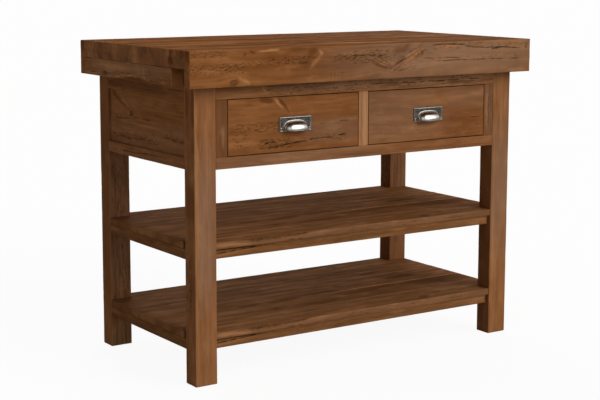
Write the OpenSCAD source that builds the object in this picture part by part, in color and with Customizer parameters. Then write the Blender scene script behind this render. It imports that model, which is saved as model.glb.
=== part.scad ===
// Kitchen island: a plank worktop on a framed base with two drawers and two plank shelves.
// Millimetres, +Z up. The origin lies on the floor below the middle of the worktop.
// The front, with the drawers, faces -Y, and left is -X.

/* [Worktop] */
// Length of the worktop, left to right
top_length = 1200; // [1050:1:1500]
// Depth of the worktop, front to back
top_depth = 660; // [600:1:800]
// Height of the worktop above the floor
height = 925; // [880:1:1000]
// Thickness of the worktop planks
top_plank_t = 50; // [35:1:60]
// Height of the boards along the front and back edges of the worktop
fascia_h = 100; // [70:1:120]
// Thickness of the boards along the front and back edges
fascia_t = 25; // [18:1:35]
// Planks between the two edge boards
top_plank_count = 5; // [4:1:6]
// Glue line between two worktop planks
top_seam = 0.3; // [0.2:0.1:1]
// Height of the batten under each end of the worktop
end_batten_h = 50; // [35:1:60]
// Open gap between the front edge board and each end batten
end_notch = 75; // [30:1:100]
// How far the worktop stands out past the legs at each end
end_overhang = 38; // [30:1:60]
// How far the worktop stands out past the legs at the front and back
front_overhang = 46; // [35:1:60]

/* [Legs and frame] */
// Width of a leg, along the length of the island
leg_w = 68; // [60:1:80]
// Depth of a leg, front to back
leg_d = 55; // [52:1:75]
// Thickness of the rails and stiles
rail_t = 25; // [22:1:30]
// Height of the rails right under the worktop
top_rail_h = 87; // [75:1:100]
// Height of the rails below the drawers
bottom_rail_h = 32; // [30:1:45]
// Depth of the rail below the drawers, front to back
drawer_rail_d = 45; // [42:1:50]
// Width of the stiles beside the front legs
side_stile_w = 36; // [30:1:50]
// Width of the stile between the drawers
centre_stile_w = 34; // [30:1:50]
// Thickness of the side and back panels
panel_t = 12; // [9:1:14]
// How far the side and back panels lie behind the legs' outer faces
panel_setback = 9; // [5:1:10]

/* [Joinery] */
// Length of the tenons on the rails
tenon_l = 25; // [15:1:28]
// Thickness of the tenons
tenon_t = 9; // [7:1:10]
// Shoulder above and below a tenon
tenon_shoulder = 5; // [4:1:8]
// Length of the stub tenons on runners, kickers and shelf bearers
stub_l = 6; // [4:1:7]
// Length of the tenons on the stiles
stile_tenon_l = 12; // [8:1:16]
// Depth of the panel grooves
groove_d = 8; // [5:1:10]
// Space for a panel to move at the bottom of its groove
panel_play = 1; // [0.5:0.1:2]
// Clearance on each side of a glued joint
joint_fit = 0.2; // [0.1:0.05:0.3]
// Depth left free at the end of a mortise
mortise_play = 1; // [0.5:0.1:2]

/* [Shelves] */
// Height of the upper shelf's surface
upper_shelf_z = 397; // [340:1:450]
// Height of the lower shelf's surface
lower_shelf_z = 145; // [100:1:200]
// Thickness of the shelf planks
shelf_plank_t = 20; // [16:1:28]
// Planks in each shelf
shelf_plank_count = 5; // [4:1:6]
// Open seam between two shelf planks
shelf_seam = 1; // [0.5:0.1:3]
// Height of the rails that carry the shelves
shelf_rail_h = 28; // [24:1:40]
// How far the shelf planks lie behind the front and back faces of the legs
shelf_setback = 2; // [0:0.5:5]
// How far the front and back shelf rails lie behind the faces of the legs
shelf_rail_setback = 13; // [8:1:20]
// How far the shelf ends lie inside the outer faces of the legs
shelf_end_setback = 1; // [0:0.5:5]
// Width of the bearer across the middle of each shelf
bearer_w = 40; // [30:1:60]

/* [Drawers] */
// Height of the drawer openings
drawer_opening_h = 158; // [140:1:175]
// Gap round a drawer front
drawer_gap = 2; // [1.5:0.1:3]
// Length of a drawer, front to back
drawer_length = 480; // [400:1:500]
// Thickness of a drawer front
drawer_front_t = 20; // [18:1:22]
// Thickness of the drawer sides and backs
drawer_side_t = 12; // [10:1:14]
// Thickness of the drawer bottoms
drawer_bottom_t = 6; // [4:0.5:8]
// Height of a drawer's bottom panel above the edges that it slides on
drawer_bottom_rise = 12; // [10:0.5:16]
// Depth of the grooves that hold a drawer bottom
drawer_groove_d = 5; // [3:0.5:6]
// Depth of the housings that hold a drawer back
drawer_housing_d = 4; // [2:0.5:5]
// Wood left in front of the laps that take the drawer sides
drawer_lap = 10; // [8:1:12]
// Length of the drawer sides behind the drawer back
drawer_tail = 10; // [5:1:20]
// How far a drawer back stays below the tops of its sides
drawer_back_drop = 6; // [0:1:20]
// Running clearance between a drawer and what it slides on or stops against
run_gap = 0.4; // [0.3:0.05:0.8]
// Width of the outer runners and kickers
runner_w = 54; // [50:1:60]
// Height of the runners and kickers
runner_h = 25; // [20:1:28]
// How far the middle runner and kicker reach under each drawer
runner_lap = 23; // [16:1:40]
// Height of the guides on the runners
guide_h = 25; // [15:1:40]
// Height of the drawer stops
stop_h = 6; // [5:0.5:8]
// Depth of the drawer stops, front to back
stop_d = 18; // [10:1:20]
// Width of the drawer stops
stop_w = 30; // [20:1:50]
// Distance from a drawer side to the stop beside it
stop_inset = 25; // [10:1:60]

/* [Drawer pulls] */
// Width of a pull's back plate
pull_w = 107; // [95:1:120]
// Height of a pull's back plate
pull_h = 41; // [38:1:50]
// Thickness of the back plate's field
pull_plate_t = 2; // [1.5:0.1:3]
// Width of the raised rim round the back plate
pull_rim_w = 3.5; // [2:0.5:5]
// Height of the raised rim above the field
pull_rim_h = 1.6; // [0.8:0.1:2.5]
// Length of the cup, left to right
cup_length = 82; // [70:1:86]
// Distance that the cup rises and stands out
cup_r = 26; // [22:0.5:28]
// Thickness of the cup's wall
cup_wall = 1.8; // [1.5:0.1:3]
// Width of the flange where the cup meets the plate
cup_flange_w = 2; // [1:0.5:3]
// Height of that flange above the field
cup_flange_h = 1.2; // [0.6:0.1:2]
// Height of the lip round the mouth of the cup
cup_lip_h = 2.2; // [1.5:0.1:3]
// Height of the cup's mouth above the lower edge of the plate
cup_rise = 4; // [3.5:0.5:8]
// Distance from a pull's middle to each of its screws
pull_screw_x = 47; // [46:0.5:48]
// Distance of a pull's screws below its middle
pull_screw_drop = 12; // [8:0.5:13]
// Diameter of a pull screw's shank
pull_screw_d = 3; // [2.5:0.1:3.5]
// Diameter of a pull screw's head
pull_screw_head_d = 5.6; // [5:0.1:6.5]
// Height of a pull screw's head
pull_screw_head_h = 1.4; // [1:0.1:2]
// Length of a pull screw below its head
pull_screw_l = 14; // [10:1:16]

/* [Worktop fixings] */
// Length of a wooden button from the rail inwards
button_l = 35; // [28:1:45]
// Width of a wooden button
button_w = 30; // [25:1:40]
// Thickness of a wooden button
button_t = 22; // [18:1:28]
// Height of the groove for the buttons' tongues
button_groove_h = 10; // [8:1:12]
// Depth of that groove
button_groove_d = 8; // [6:1:10]
// Distance from the top of the rails to that groove
button_groove_drop = 10; // [8:1:14]
// Distance of the front and back buttons from the middle of the island
button_x = 300; // [200:1:400]
// Gap between a button and the face of its rail
button_gap = 0.8; // [0.5:0.1:1.5]
// Diameter of a worktop screw's shank
top_screw_d = 4; // [3.5:0.1:5]
// Diameter of a worktop screw's head
top_screw_head_d = 8; // [7:0.1:9]
// Length of a worktop screw
top_screw_l = 45; // [35:1:48]
// Clearance round the shank of a screw
screw_fit = 0.1; // [0.05:0.01:0.2]

/* [Hidden] */

// Colours of the stained pine, the plain inner wood, the nickel and the steel
STAIN = "#7a5231";
STAIN_TOP = "#84592f";
STAIN_DARK = "#5f3d24";
STAIN_LIGHT = "#9a6b43";
INNER_WOOD = "#b58a5c";
NICKEL = "#c9c8c4";
STEEL = "#8f9093";

// Overlap that keeps a cut from leaving a skin
CUT = 1;
// Facets of turned shapes
TURNED = 48;
// Steps along half the outline of a cup
CUP_STEPS = 28;

// Faces of the legs, the same on both sides of the middle
leg_out_x = top_length / 2 - end_overhang;
leg_in_x = leg_out_x - leg_w;
leg_out_y = top_depth / 2 - front_overhang;
leg_in_y = leg_out_y - leg_d;

// Heights of the base
base_top = height - top_plank_t;
open_top = base_top - top_rail_h;
open_bottom = open_top - drawer_opening_h;
apron_bottom = open_bottom - bottom_rail_h;

// Shoulder above and below a stub tenon, so that it clears the panel grooves
stub_shoulder = groove_d + mortise_play;

// Inner faces of the rails
rail_in_x = leg_out_x - rail_t;
rail_in_y = leg_out_y - rail_t;
drawer_rail_in_y = leg_out_y - drawer_rail_d;

// Places along the front of one drawer opening
open_out_x = leg_in_x - side_stile_w;
open_in_x = centre_stile_w / 2;
drawer_x = (open_out_x + open_in_x) / 2;
drawer_w = open_out_x - open_in_x - 2 * drawer_gap;
drawer_half_in = drawer_w / 2 - drawer_side_t;

// Heights of one drawer
drawer_face_bottom = open_bottom + drawer_gap;
drawer_face_top = open_top - drawer_gap;
drawer_side_bottom = open_bottom + run_gap;
drawer_side_top = drawer_face_top - drawer_gap;
drawer_bottom_z = drawer_side_bottom + drawer_bottom_rise;
drawer_bottom_top = drawer_bottom_z + drawer_bottom_t;

// Places of one drawer, front to back
drawer_face_y = -leg_out_y;
drawer_face_back_y = drawer_face_y + drawer_front_t;
drawer_end_y = drawer_face_y + drawer_length;
drawer_back_y1 = drawer_end_y - drawer_tail;
drawer_back_y0 = drawer_back_y1 - drawer_side_t;

// Middle of a pull and the line of its cup's mouth
pull_z = (drawer_face_bottom + drawer_face_top) / 2;
cup_mouth_z = pull_z - pull_h / 2 + cup_rise;
cup_y = drawer_face_y - pull_plate_t;

// Planks of the worktop and of the shelves
top_plank_w = (top_depth - 2 * fascia_t - (top_plank_count - 1) * top_seam) / top_plank_count;
top_plank_pitch = top_plank_w + top_seam;
shelf_half_d = leg_out_y - shelf_setback;
shelf_plank_w = (2 * shelf_half_d - (shelf_plank_count - 1) * shelf_seam) / shelf_plank_count;
shelf_end_x = leg_out_x - shelf_end_setback;
shelf_rail_out_y = leg_out_y - shelf_rail_setback;
shelf_rail_in_y = shelf_rail_out_y - rail_t;

// Screws that hold the worktop: x, y and the direction in which the button points
button_screw_r = button_gap + button_l / 2;
BUTTONS = [
    for (side = [-1, 1], x = [-1, 1])
        [x * button_x, side * (rail_in_y - button_screw_r), side > 0 ? 90 : 270],
    for (side = [-1, 1], k = [-1:1])
        [side * (rail_in_x - button_screw_r), k * top_plank_pitch, side > 0 ? 0 : 180]
];
top_screw_bottom = base_top - button_t;

// The left and right edges of the three front stiles
STILES = [
    [-leg_in_x, -open_out_x],
    [-open_in_x, open_in_x],
    [open_out_x, leg_in_x]
];

// The left and right edges of the three runners, and of the kickers above them
RUNNERS = [
    [-leg_in_x, -leg_in_x + runner_w],
    [-open_in_x - runner_lap, open_in_x + runner_lap],
    [leg_in_x - runner_w, leg_in_x]
];

// A box between its lowest and its highest corner
module block(low, high) {
    translate(low)
        cube(high - low);
}

// Whatever follows, mirrored to the right or to the back
module to_side(right, back) {
    mirror([right ? 1 : 0, 0, 0])
        mirror([0, back ? 1 : 0, 0])
            children();
}

// A tenon through both ends of a rail along X, or its mortises with the fit added
module tenons_x(y0, y1, z0, z1, fit = 0, play = 0) {
    middle = (y0 + y1) / 2;
    reach = leg_in_x + tenon_l + play;
    block([-reach, middle - tenon_t / 2 - fit, z0 + tenon_shoulder - fit],
          [reach, middle + tenon_t / 2 + fit, z1 - tenon_shoulder + fit]);
}

// The same for a rail along Y
module tenons_y(x0, x1, z0, z1, fit = 0, play = 0) {
    middle = (x0 + x1) / 2;
    reach = leg_in_y + tenon_l + play;
    block([middle - tenon_t / 2 - fit, -reach, z0 + tenon_shoulder - fit],
          [middle + tenon_t / 2 + fit, reach, z1 - tenon_shoulder + fit]);
}

// A rail between two legs along X
module rail_x(y0, y1, z0, z1) {
    block([-leg_in_x, y0, z0], [leg_in_x, y1, z1]);
    tenons_x(y0, y1, z0, z1);
}

// A rail between two legs along Y
module rail_y(x0, x1, z0, z1) {
    block([x0, -leg_in_y, z0], [x1, leg_in_y, z1]);
    tenons_y(x0, x1, z0, z1);
}

// The space in which a side panel lies, or the panel itself
module side_panel_space(fit, play) {
    reach_y = leg_in_y + groove_d - play;
    block([-leg_out_x + panel_setback - fit, -reach_y, open_bottom - groove_d + play],
          [-leg_out_x + panel_setback + panel_t + fit, reach_y, open_top + groove_d - play]);
}

// The space in which the back panel lies, or the panel itself
module back_panel_space(fit, play) {
    reach_x = leg_in_x + groove_d - play;
    block([-reach_x, leg_out_y - panel_setback - panel_t - fit, open_bottom - groove_d + play],
          [reach_x, leg_out_y - panel_setback + fit, open_top + groove_d - play]);
}

// A stile of the front, or its mortises in the rails above and below
module stile_tenons(x0, x1, fit = 0, play = 0) {
    middle = -leg_out_y + rail_t / 2;
    block([x0 + tenon_shoulder - fit, middle - tenon_t / 2 - fit, open_bottom - stile_tenon_l - play],
          [x1 - tenon_shoulder + fit, middle + tenon_t / 2 + fit, open_top + stile_tenon_l + play]);
}

// Stub tenons of a runner, kicker or bearer along Y, or their mortises
module stubs_y(x0, x1, y0, y1, z0, z1, fit = 0, play = 0) {
    block([x0 + tenon_shoulder - fit, y0 - stub_l - play, z0 + stub_shoulder - fit],
          [x1 - tenon_shoulder + fit, y1 + stub_l + play, z1 - stub_shoulder + fit]);
}

module runner_stubs(fit = 0, play = 0) {
    for (r = RUNNERS)
        stubs_y(r[0], r[1], -drawer_rail_in_y, rail_in_y, open_bottom - runner_h, open_bottom, fit, play);
}

module kicker_stubs(fit = 0, play = 0) {
    for (r = RUNNERS)
        stubs_y(r[0], r[1], -rail_in_y, rail_in_y, open_top, open_top + runner_h, fit, play);
}

module bearer_stubs(shelf_z, fit = 0, play = 0) {
    rail_top = shelf_z - shelf_plank_t;
    stubs_y(-bearer_w / 2, bearer_w / 2, -shelf_rail_in_y, shelf_rail_in_y,
            rail_top - shelf_rail_h, rail_top, fit, play);
}

// Grooves along the inner faces of the four top rails for the buttons
module button_grooves() {
    z1 = base_top - button_groove_drop;
    z0 = z1 - button_groove_h;
    difference() {
        block([-rail_in_x - button_groove_d, -rail_in_y - button_groove_d, z0],
              [rail_in_x + button_groove_d, rail_in_y + button_groove_d, z1]);
        block([-rail_in_x + CUT, -rail_in_y + CUT, z0 - CUT], [rail_in_x - CUT, rail_in_y - CUT, z1 + CUT]);
    }
}

// Legs, with mortises for every rail and grooves for the panels
module leg(right, back) {
    bottom_rail_in_y = back ? rail_in_y : drawer_rail_in_y;
    color(STAIN)
        to_side(right, back)
            difference() {
                block([-leg_out_x, -leg_out_y, 0], [-leg_in_x, -leg_in_y, base_top]);
                tenons_x(-leg_out_y, -rail_in_y, open_top, base_top, joint_fit, mortise_play);
                tenons_x(-leg_out_y, -bottom_rail_in_y, apron_bottom, open_bottom, joint_fit, mortise_play);
                tenons_y(-leg_out_x, -rail_in_x, open_top, base_top, joint_fit, mortise_play);
                tenons_y(-leg_out_x, -rail_in_x, apron_bottom, open_bottom, joint_fit, mortise_play);
                side_panel_space(joint_fit, 0);
                if (back)
                    mirror([0, 1, 0])
                        back_panel_space(joint_fit, 0);
                for (shelf_z = [lower_shelf_z, upper_shelf_z])
                    leg_shelf_mortises(shelf_z);
            }
}

module leg_shelf_mortises(shelf_z) {
    z1 = shelf_z - shelf_plank_t;
    z0 = z1 - shelf_rail_h;
    tenons_x(-shelf_rail_out_y, -shelf_rail_in_y, z0, z1, joint_fit, mortise_play);
    tenons_y(-shelf_end_x, -shelf_end_x + rail_t, z0, z1, joint_fit, mortise_play);
}

// Front of the base
module front_top_rail() {
    color(STAIN_DARK)
        difference() {
            rail_x(-leg_out_y, -rail_in_y, open_top, base_top);
            for (s = STILES)
                stile_tenons(s[0], s[1], joint_fit, mortise_play);
            kicker_stubs(joint_fit, mortise_play);
            button_grooves();
        }
}

module front_bottom_rail() {
    color(STAIN)
        difference() {
            rail_x(-leg_out_y, -drawer_rail_in_y, apron_bottom, open_bottom);
            for (s = STILES)
                stile_tenons(s[0], s[1], joint_fit, mortise_play);
            runner_stubs(joint_fit, mortise_play);
        }
}

module front_stile(k) {
    x0 = STILES[k][0];
    x1 = STILES[k][1];
    color(k == 1 ? STAIN_LIGHT : STAIN) {
        block([x0, -leg_out_y, open_bottom], [x1, -rail_in_y, open_top]);
        stile_tenons(x0, x1);
    }
}

// Back of the base
module back_top_rail() {
    color(STAIN)
        difference() {
            rail_x(rail_in_y, leg_out_y, open_top, base_top);
            back_panel_space(joint_fit, 0);
            kicker_stubs(joint_fit, mortise_play);
            button_grooves();
        }
}

module back_bottom_rail() {
    color(STAIN)
        difference() {
            rail_x(rail_in_y, leg_out_y, apron_bottom, open_bottom);
            back_panel_space(joint_fit, 0);
            runner_stubs(joint_fit, mortise_play);
        }
}

module back_panel() {
    color(STAIN)
        back_panel_space(0, panel_play);
}

// Ends of the base
module side_top_rail(right) {
    color(STAIN)
        to_side(right, false)
            difference() {
                rail_y(-leg_out_x, -rail_in_x, open_top, base_top);
                side_panel_space(joint_fit, 0);
                button_grooves();
            }
}

module side_bottom_rail(right) {
    color(STAIN)
        to_side(right, false)
            difference() {
                rail_y(-leg_out_x, -rail_in_x, apron_bottom, open_bottom);
                side_panel_space(joint_fit, 0);
            }
}

module side_panel(right) {
    color(STAIN)
        to_side(right, false)
            side_panel_space(0, panel_play);
}

// Worktop
module top_planks(first, last) {
    color(STAIN_TOP)
        difference() {
            for (k = [first:last]) {
                y0 = -top_depth / 2 + fascia_t + k * top_plank_pitch;
                block([-top_length / 2, y0, base_top], [top_length / 2, y0 + top_plank_w, height]);
            }
            for (b = BUTTONS)
                translate([b[0], b[1], top_screw_bottom])
                    cylinder(d = top_screw_d + 2 * screw_fit, h = top_screw_l + CUT, $fn = TURNED);
        }
}

module fascia(back) {
    color(STAIN_TOP)
        to_side(false, back)
            block([-top_length / 2, -top_depth / 2, height - fascia_h],
                  [top_length / 2, -top_depth / 2 + fascia_t, height]);
}

// The batten fills the overhang from behind the front notch to the back edge board
module end_batten(right) {
    color(STAIN_TOP)
        to_side(right, false)
            block([-top_length / 2, -top_depth / 2 + fascia_t + end_notch, base_top - end_batten_h],
                  [-leg_out_x, top_depth / 2 - fascia_t, base_top]);
}

module worktop_button() {
    tongue_top = -button_groove_drop - joint_fit;
    tongue_bottom = -button_groove_drop - button_groove_h + joint_fit;
    tongue_reach = button_screw_r + button_groove_d - mortise_play;
    difference() {
        union() {
            block([-button_l / 2, -button_w / 2, -button_t], [button_l / 2, button_w / 2, 0]);
            block([0, -button_w / 2, tongue_bottom], [tongue_reach, button_w / 2, tongue_top]);
        }
        translate([0, 0, -button_t - CUT])
            cylinder(d = top_screw_d + 2 * screw_fit, h = button_t + 2 * CUT, $fn = TURNED);
        translate([0, 0, -button_t])
            top_screw_head(screw_fit);
    }
}

module worktop_buttons() {
    color(INNER_WOOD)
        for (b = BUTTONS)
            translate([b[0], b[1], base_top])
                rotate(b[2])
                    worktop_button();
}

// The countersunk head, with its flat face down
module top_screw_head(fit = 0) {
    head_h = (top_screw_head_d - top_screw_d) / 2;
    cylinder(d1 = top_screw_head_d + 2 * fit, d2 = top_screw_d + 2 * fit, h = head_h, $fn = TURNED);
}

module worktop_screws() {
    color(STEEL)
        for (b = BUTTONS)
            translate([b[0], b[1], top_screw_bottom]) {
                top_screw_head();
                cylinder(d = top_screw_d, h = top_screw_l, $fn = TURNED);
            }
}

// Shelves: planks laid lengthwise, with the outer two cut round the legs
module shelf_planks(shelf_z, first, last) {
    clear_x = leg_in_x - joint_fit;
    clear_y = leg_in_y - joint_fit;
    color(STAIN_DARK)
        difference() {
            for (k = [first:last]) {
                y0 = -shelf_half_d + k * (shelf_plank_w + shelf_seam);
                block([-shelf_end_x, y0, shelf_z - shelf_plank_t],
                      [shelf_end_x, y0 + shelf_plank_w, shelf_z]);
            }
            for (right = [false, true], back = [false, true])
                to_side(right, back)
                    block([-leg_out_x - CUT, -leg_out_y - CUT, shelf_z - shelf_plank_t - CUT],
                          [-clear_x, -clear_y, shelf_z + CUT]);
        }
}

module shelf_long_rail(shelf_z, back) {
    z1 = shelf_z - shelf_plank_t;
    color(STAIN_DARK)
        to_side(false, back)
            difference() {
                rail_x(-shelf_rail_out_y, -shelf_rail_in_y, z1 - shelf_rail_h, z1);
                bearer_stubs(shelf_z, joint_fit, mortise_play);
            }
}

module shelf_side_rails(shelf_z) {
    z1 = shelf_z - shelf_plank_t;
    color(STAIN_DARK)
        for (right = [false, true])
            to_side(right, false)
                rail_y(-shelf_end_x, -shelf_end_x + rail_t, z1 - shelf_rail_h, z1);
}

module shelf_bearer(shelf_z) {
    z1 = shelf_z - shelf_plank_t;
    color(STAIN_DARK) {
        block([-bearer_w / 2, -shelf_rail_in_y, z1 - shelf_rail_h], [bearer_w / 2, shelf_rail_in_y, z1]);
        bearer_stubs(shelf_z);
    }
}

// What the drawers slide on, between and under
module drawer_runners() {
    color(INNER_WOOD) {
        for (r = RUNNERS)
            block([r[0], -drawer_rail_in_y, open_bottom - runner_h], [r[1], rail_in_y, open_bottom]);
        runner_stubs();
    }
}

module drawer_guides() {
    color(INNER_WOOD)
        for (s = STILES)
            block([s[0], -rail_in_y, open_bottom], [s[1], rail_in_y, open_bottom + guide_h]);
}

module drawer_kickers() {
    color(INNER_WOOD) {
        for (r = RUNNERS)
            block([r[0], -rail_in_y, open_top], [r[1], rail_in_y, open_top + runner_h]);
        kicker_stubs();
    }
}

module drawer_stops() {
    far = drawer_half_in - stop_inset;
    y0 = drawer_face_back_y + run_gap;
    color(INNER_WOOD)
        for (side = [-1, 1], end = [0, 1])
            in_opening(side)
                mirror([end, 0, 0])
                    block([far - stop_w, y0, open_bottom], [far, y0 + stop_d, open_bottom + stop_h]);
}

// Drawers, each made round x = 0 and set in its opening
module in_opening(side) {
    translate([side * drawer_x, 0, 0])
        children();
}

// The bottom panel, or the grooves that hold it
module drawer_bottom_space(fit, reach) {
    block([-drawer_half_in - reach, drawer_face_back_y - reach, drawer_bottom_z - fit],
          [drawer_half_in + reach, drawer_back_y1, drawer_bottom_top + fit]);
}

module drawer_front(side) {
    color(STAIN)
        in_opening(side)
            difference() {
                block([-drawer_w / 2, drawer_face_y, drawer_face_bottom],
                      [drawer_w / 2, drawer_face_back_y, drawer_face_top]);
                for (end = [0, 1])
                    mirror([end, 0, 0])
                        block([drawer_half_in, drawer_face_y + drawer_lap, drawer_face_bottom - CUT],
                              [drawer_w / 2 + CUT, drawer_face_back_y + CUT, drawer_face_top + CUT]);
                drawer_bottom_space(joint_fit, drawer_groove_d);
                pull_screw_places()
                    rotate([-90, 0, 0])
                        cylinder(d = pull_screw_d + 2 * screw_fit, h = pull_screw_l + CUT, $fn = TURNED);
            }
}

// The left or right side of a drawer, for end -1 or 1
module drawer_side(side, end) {
    groove_x = drawer_half_in + drawer_groove_d;
    housing_x = drawer_half_in + drawer_housing_d;
    color(INNER_WOOD)
        in_opening(side)
            mirror([end < 0 ? 1 : 0, 0, 0])
                difference() {
                    block([drawer_half_in, drawer_face_y + drawer_lap, drawer_side_bottom],
                          [drawer_w / 2, drawer_end_y, drawer_side_top]);
                    block([drawer_half_in - CUT, drawer_face_y, drawer_bottom_z - joint_fit],
                          [groove_x, drawer_end_y + CUT, drawer_bottom_top + joint_fit]);
                    block([drawer_half_in - CUT, drawer_back_y0 - joint_fit, drawer_bottom_top],
                          [housing_x, drawer_back_y1 + joint_fit, drawer_side_top + CUT]);
                }
}

module drawer_back(side) {
    half = drawer_half_in + drawer_housing_d - joint_fit;
    color(INNER_WOOD)
        in_opening(side)
            block([-half, drawer_back_y0, drawer_bottom_top + joint_fit],
                  [half, drawer_back_y1, drawer_side_top - drawer_back_drop]);
}

module drawer_bottom(side) {
    color(INNER_WOOD)
        in_opening(side)
            drawer_bottom_space(0, drawer_groove_d - 2 * joint_fit);
}

// Drawer pulls
module pull_screw_places() {
    for (end = [-1, 1])
        translate([end * pull_screw_x, drawer_face_y, pull_z - pull_screw_drop])
            children();
}

// Half of an oval, from one end of the cup to the other, on its side with x above zero
function half_oval(r, half_length) =
    [for (k = [0:CUP_STEPS]) let (a = -90 + 180 * k / CUP_STEPS) [r * cos(a), half_length * sin(a)]];

function reversed(points) = [for (k = [len(points) - 1:-1:0]) points[k]];

// A half-oval wall of the cup's outline, from `inner` inside it to `outer` outside it
function cup_band(inner, outer) = concat(
    half_oval(cup_r + outer, cup_length / 2 + outer),
    reversed(half_oval(cup_r - inner, cup_length / 2 - inner)));

module pull_plate() {
    low = [-pull_w / 2, cup_y, pull_z - pull_h / 2];
    high = [pull_w / 2, drawer_face_y, pull_z + pull_h / 2];
    rim = [pull_rim_w, 0, pull_rim_w];
    difference() {
        block(low - [0, pull_rim_h, 0], high);
        block(low + rim - [0, pull_rim_h + CUT, 0], [high[0] - rim[0], cup_y, high[2] - rim[2]]);
    }
}

module drawer_pull(side) {
    plate_front = pull_plate_t + pull_rim_h;
    screw_hole_d = pull_screw_d + 2 * screw_fit;
    color(NICKEL)
        in_opening(side)
            difference() {
                union() {
                    pull_plate();
                    // Cup: a quarter turn of the half oval, from upright to straight out
                    translate([0, cup_y, cup_mouth_z])
                        rotate([0, 90, 0])
                            rotate([0, 0, 180])
                                rotate_extrude(angle = 90, $fn = 2 * TURNED)
                                    polygon(cup_band(cup_wall, 0));
                    // Flange where the cup meets the plate
                    translate([0, cup_y, cup_mouth_z])
                        rotate([90, 0, 0])
                            linear_extrude(cup_flange_h)
                                rotate(90)
                                    polygon(cup_band(cup_wall, cup_flange_w));
                    // Lip round the mouth
                    translate([0, cup_y, cup_mouth_z - cup_lip_h])
                        linear_extrude(cup_lip_h)
                            rotate(-90)
                                polygon(cup_band(cup_wall, 1));
                }
                pull_screw_places()
                    translate([0, -plate_front - CUT, 0])
                        rotate([-90, 0, 0])
                            cylinder(d = screw_hole_d, h = plate_front + 2 * CUT, $fn = TURNED);
            }
}

module drawer_pull_screws(side) {
    color(NICKEL)
        in_opening(side)
            pull_screw_places() {
                translate([0, -pull_plate_t, 0])
                    rotate([-90, 0, 0])
                        cylinder(d = pull_screw_d, h = pull_screw_l, $fn = TURNED);
                translate([0, -pull_plate_t - pull_screw_head_h, 0])
                    rotate([-90, 0, 0])
                        cylinder(d = pull_screw_head_d, h = pull_screw_head_h, $fn = TURNED);
            }
}

// Legs
leg(false, false);  // leg_front_left
leg(true, false);  // leg_front_right
leg(false, true);  // leg_back_left
leg(true, true);  // leg_back_right

// Front, back and ends of the base
front_top_rail();
front_bottom_rail();
front_stile(0);  // front_stile_left
front_stile(1);  // front_centre_stile
front_stile(2);  // front_stile_right
back_top_rail();
back_bottom_rail();
back_panel();
side_top_rail(false);  // left_top_rail
side_bottom_rail(false);  // left_bottom_rail
side_panel(false);  // left_panel
side_top_rail(true);  // right_top_rail
side_bottom_rail(true);  // right_bottom_rail
side_panel(true);  // right_panel

// Worktop
top_planks(0, 0);  // top_front_plank
top_planks(1, top_plank_count - 2);  // top_middle_planks
top_planks(top_plank_count - 1, top_plank_count - 1);  // top_back_plank
fascia(false);  // front_fascia
fascia(true);  // back_fascia
end_batten(false);  // left_end_batten
end_batten(true);  // right_end_batten
worktop_buttons();
worktop_screws();

// Upper shelf
shelf_planks(upper_shelf_z, 0, 0);  // upper_shelf_front_plank
shelf_planks(upper_shelf_z, 1, shelf_plank_count - 2);  // upper_shelf_middle_planks
shelf_planks(upper_shelf_z, shelf_plank_count - 1, shelf_plank_count - 1);  // upper_shelf_back_plank
shelf_long_rail(upper_shelf_z, false);  // upper_shelf_front_rail
shelf_long_rail(upper_shelf_z, true);  // upper_shelf_back_rail
shelf_side_rails(upper_shelf_z);  // upper_shelf_side_rails
shelf_bearer(upper_shelf_z);  // upper_shelf_bearer

// Lower shelf
shelf_planks(lower_shelf_z, 0, 0);  // lower_shelf_front_plank
shelf_planks(lower_shelf_z, 1, shelf_plank_count - 2);  // lower_shelf_middle_planks
shelf_planks(lower_shelf_z, shelf_plank_count - 1, shelf_plank_count - 1);  // lower_shelf_back_plank
shelf_long_rail(lower_shelf_z, false);  // lower_shelf_front_rail
shelf_long_rail(lower_shelf_z, true);  // lower_shelf_back_rail
shelf_side_rails(lower_shelf_z);  // lower_shelf_side_rails
shelf_bearer(lower_shelf_z);  // lower_shelf_bearer

// What carries the drawers
drawer_runners();
drawer_guides();
drawer_kickers();
drawer_stops();

// Left drawer
drawer_front(-1);  // left_drawer_front
drawer_side(-1, -1);  // left_drawer_side_left
drawer_side(-1, 1);  // left_drawer_side_right
drawer_back(-1);  // left_drawer_back
drawer_bottom(-1);  // left_drawer_bottom
drawer_pull(-1);  // left_drawer_pull
drawer_pull_screws(-1);  // left_drawer_pull_screws

// Right drawer
drawer_front(1);  // right_drawer_front
drawer_side(1, -1);  // right_drawer_side_left
drawer_side(1, 1);  // right_drawer_side_right
drawer_back(1);  // right_drawer_back
drawer_bottom(1);  // right_drawer_bottom
drawer_pull(1);  // right_drawer_pull
drawer_pull_screws(1);  // right_drawer_pull_screws
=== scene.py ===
"""Kitchen island in dark waxed plank pine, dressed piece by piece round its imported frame.

Metres, +Z up. The front, with the two drawers, faces -Y, and left is -X. Every board takes its
place and its size from the frame. A board is a closed grid whose arrises are rounded by hand,
with knots, cracks and pits pressed into it, and it carries the run of its own grain. A mark's
place on a face is in metres, and its own length, width and depth are in millimetres.
"""
import logging
import math
from dataclasses import dataclass, field, replace
from enum import Enum

import bpy
import numpy as np
from mathutils import Matrix, Vector


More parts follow.
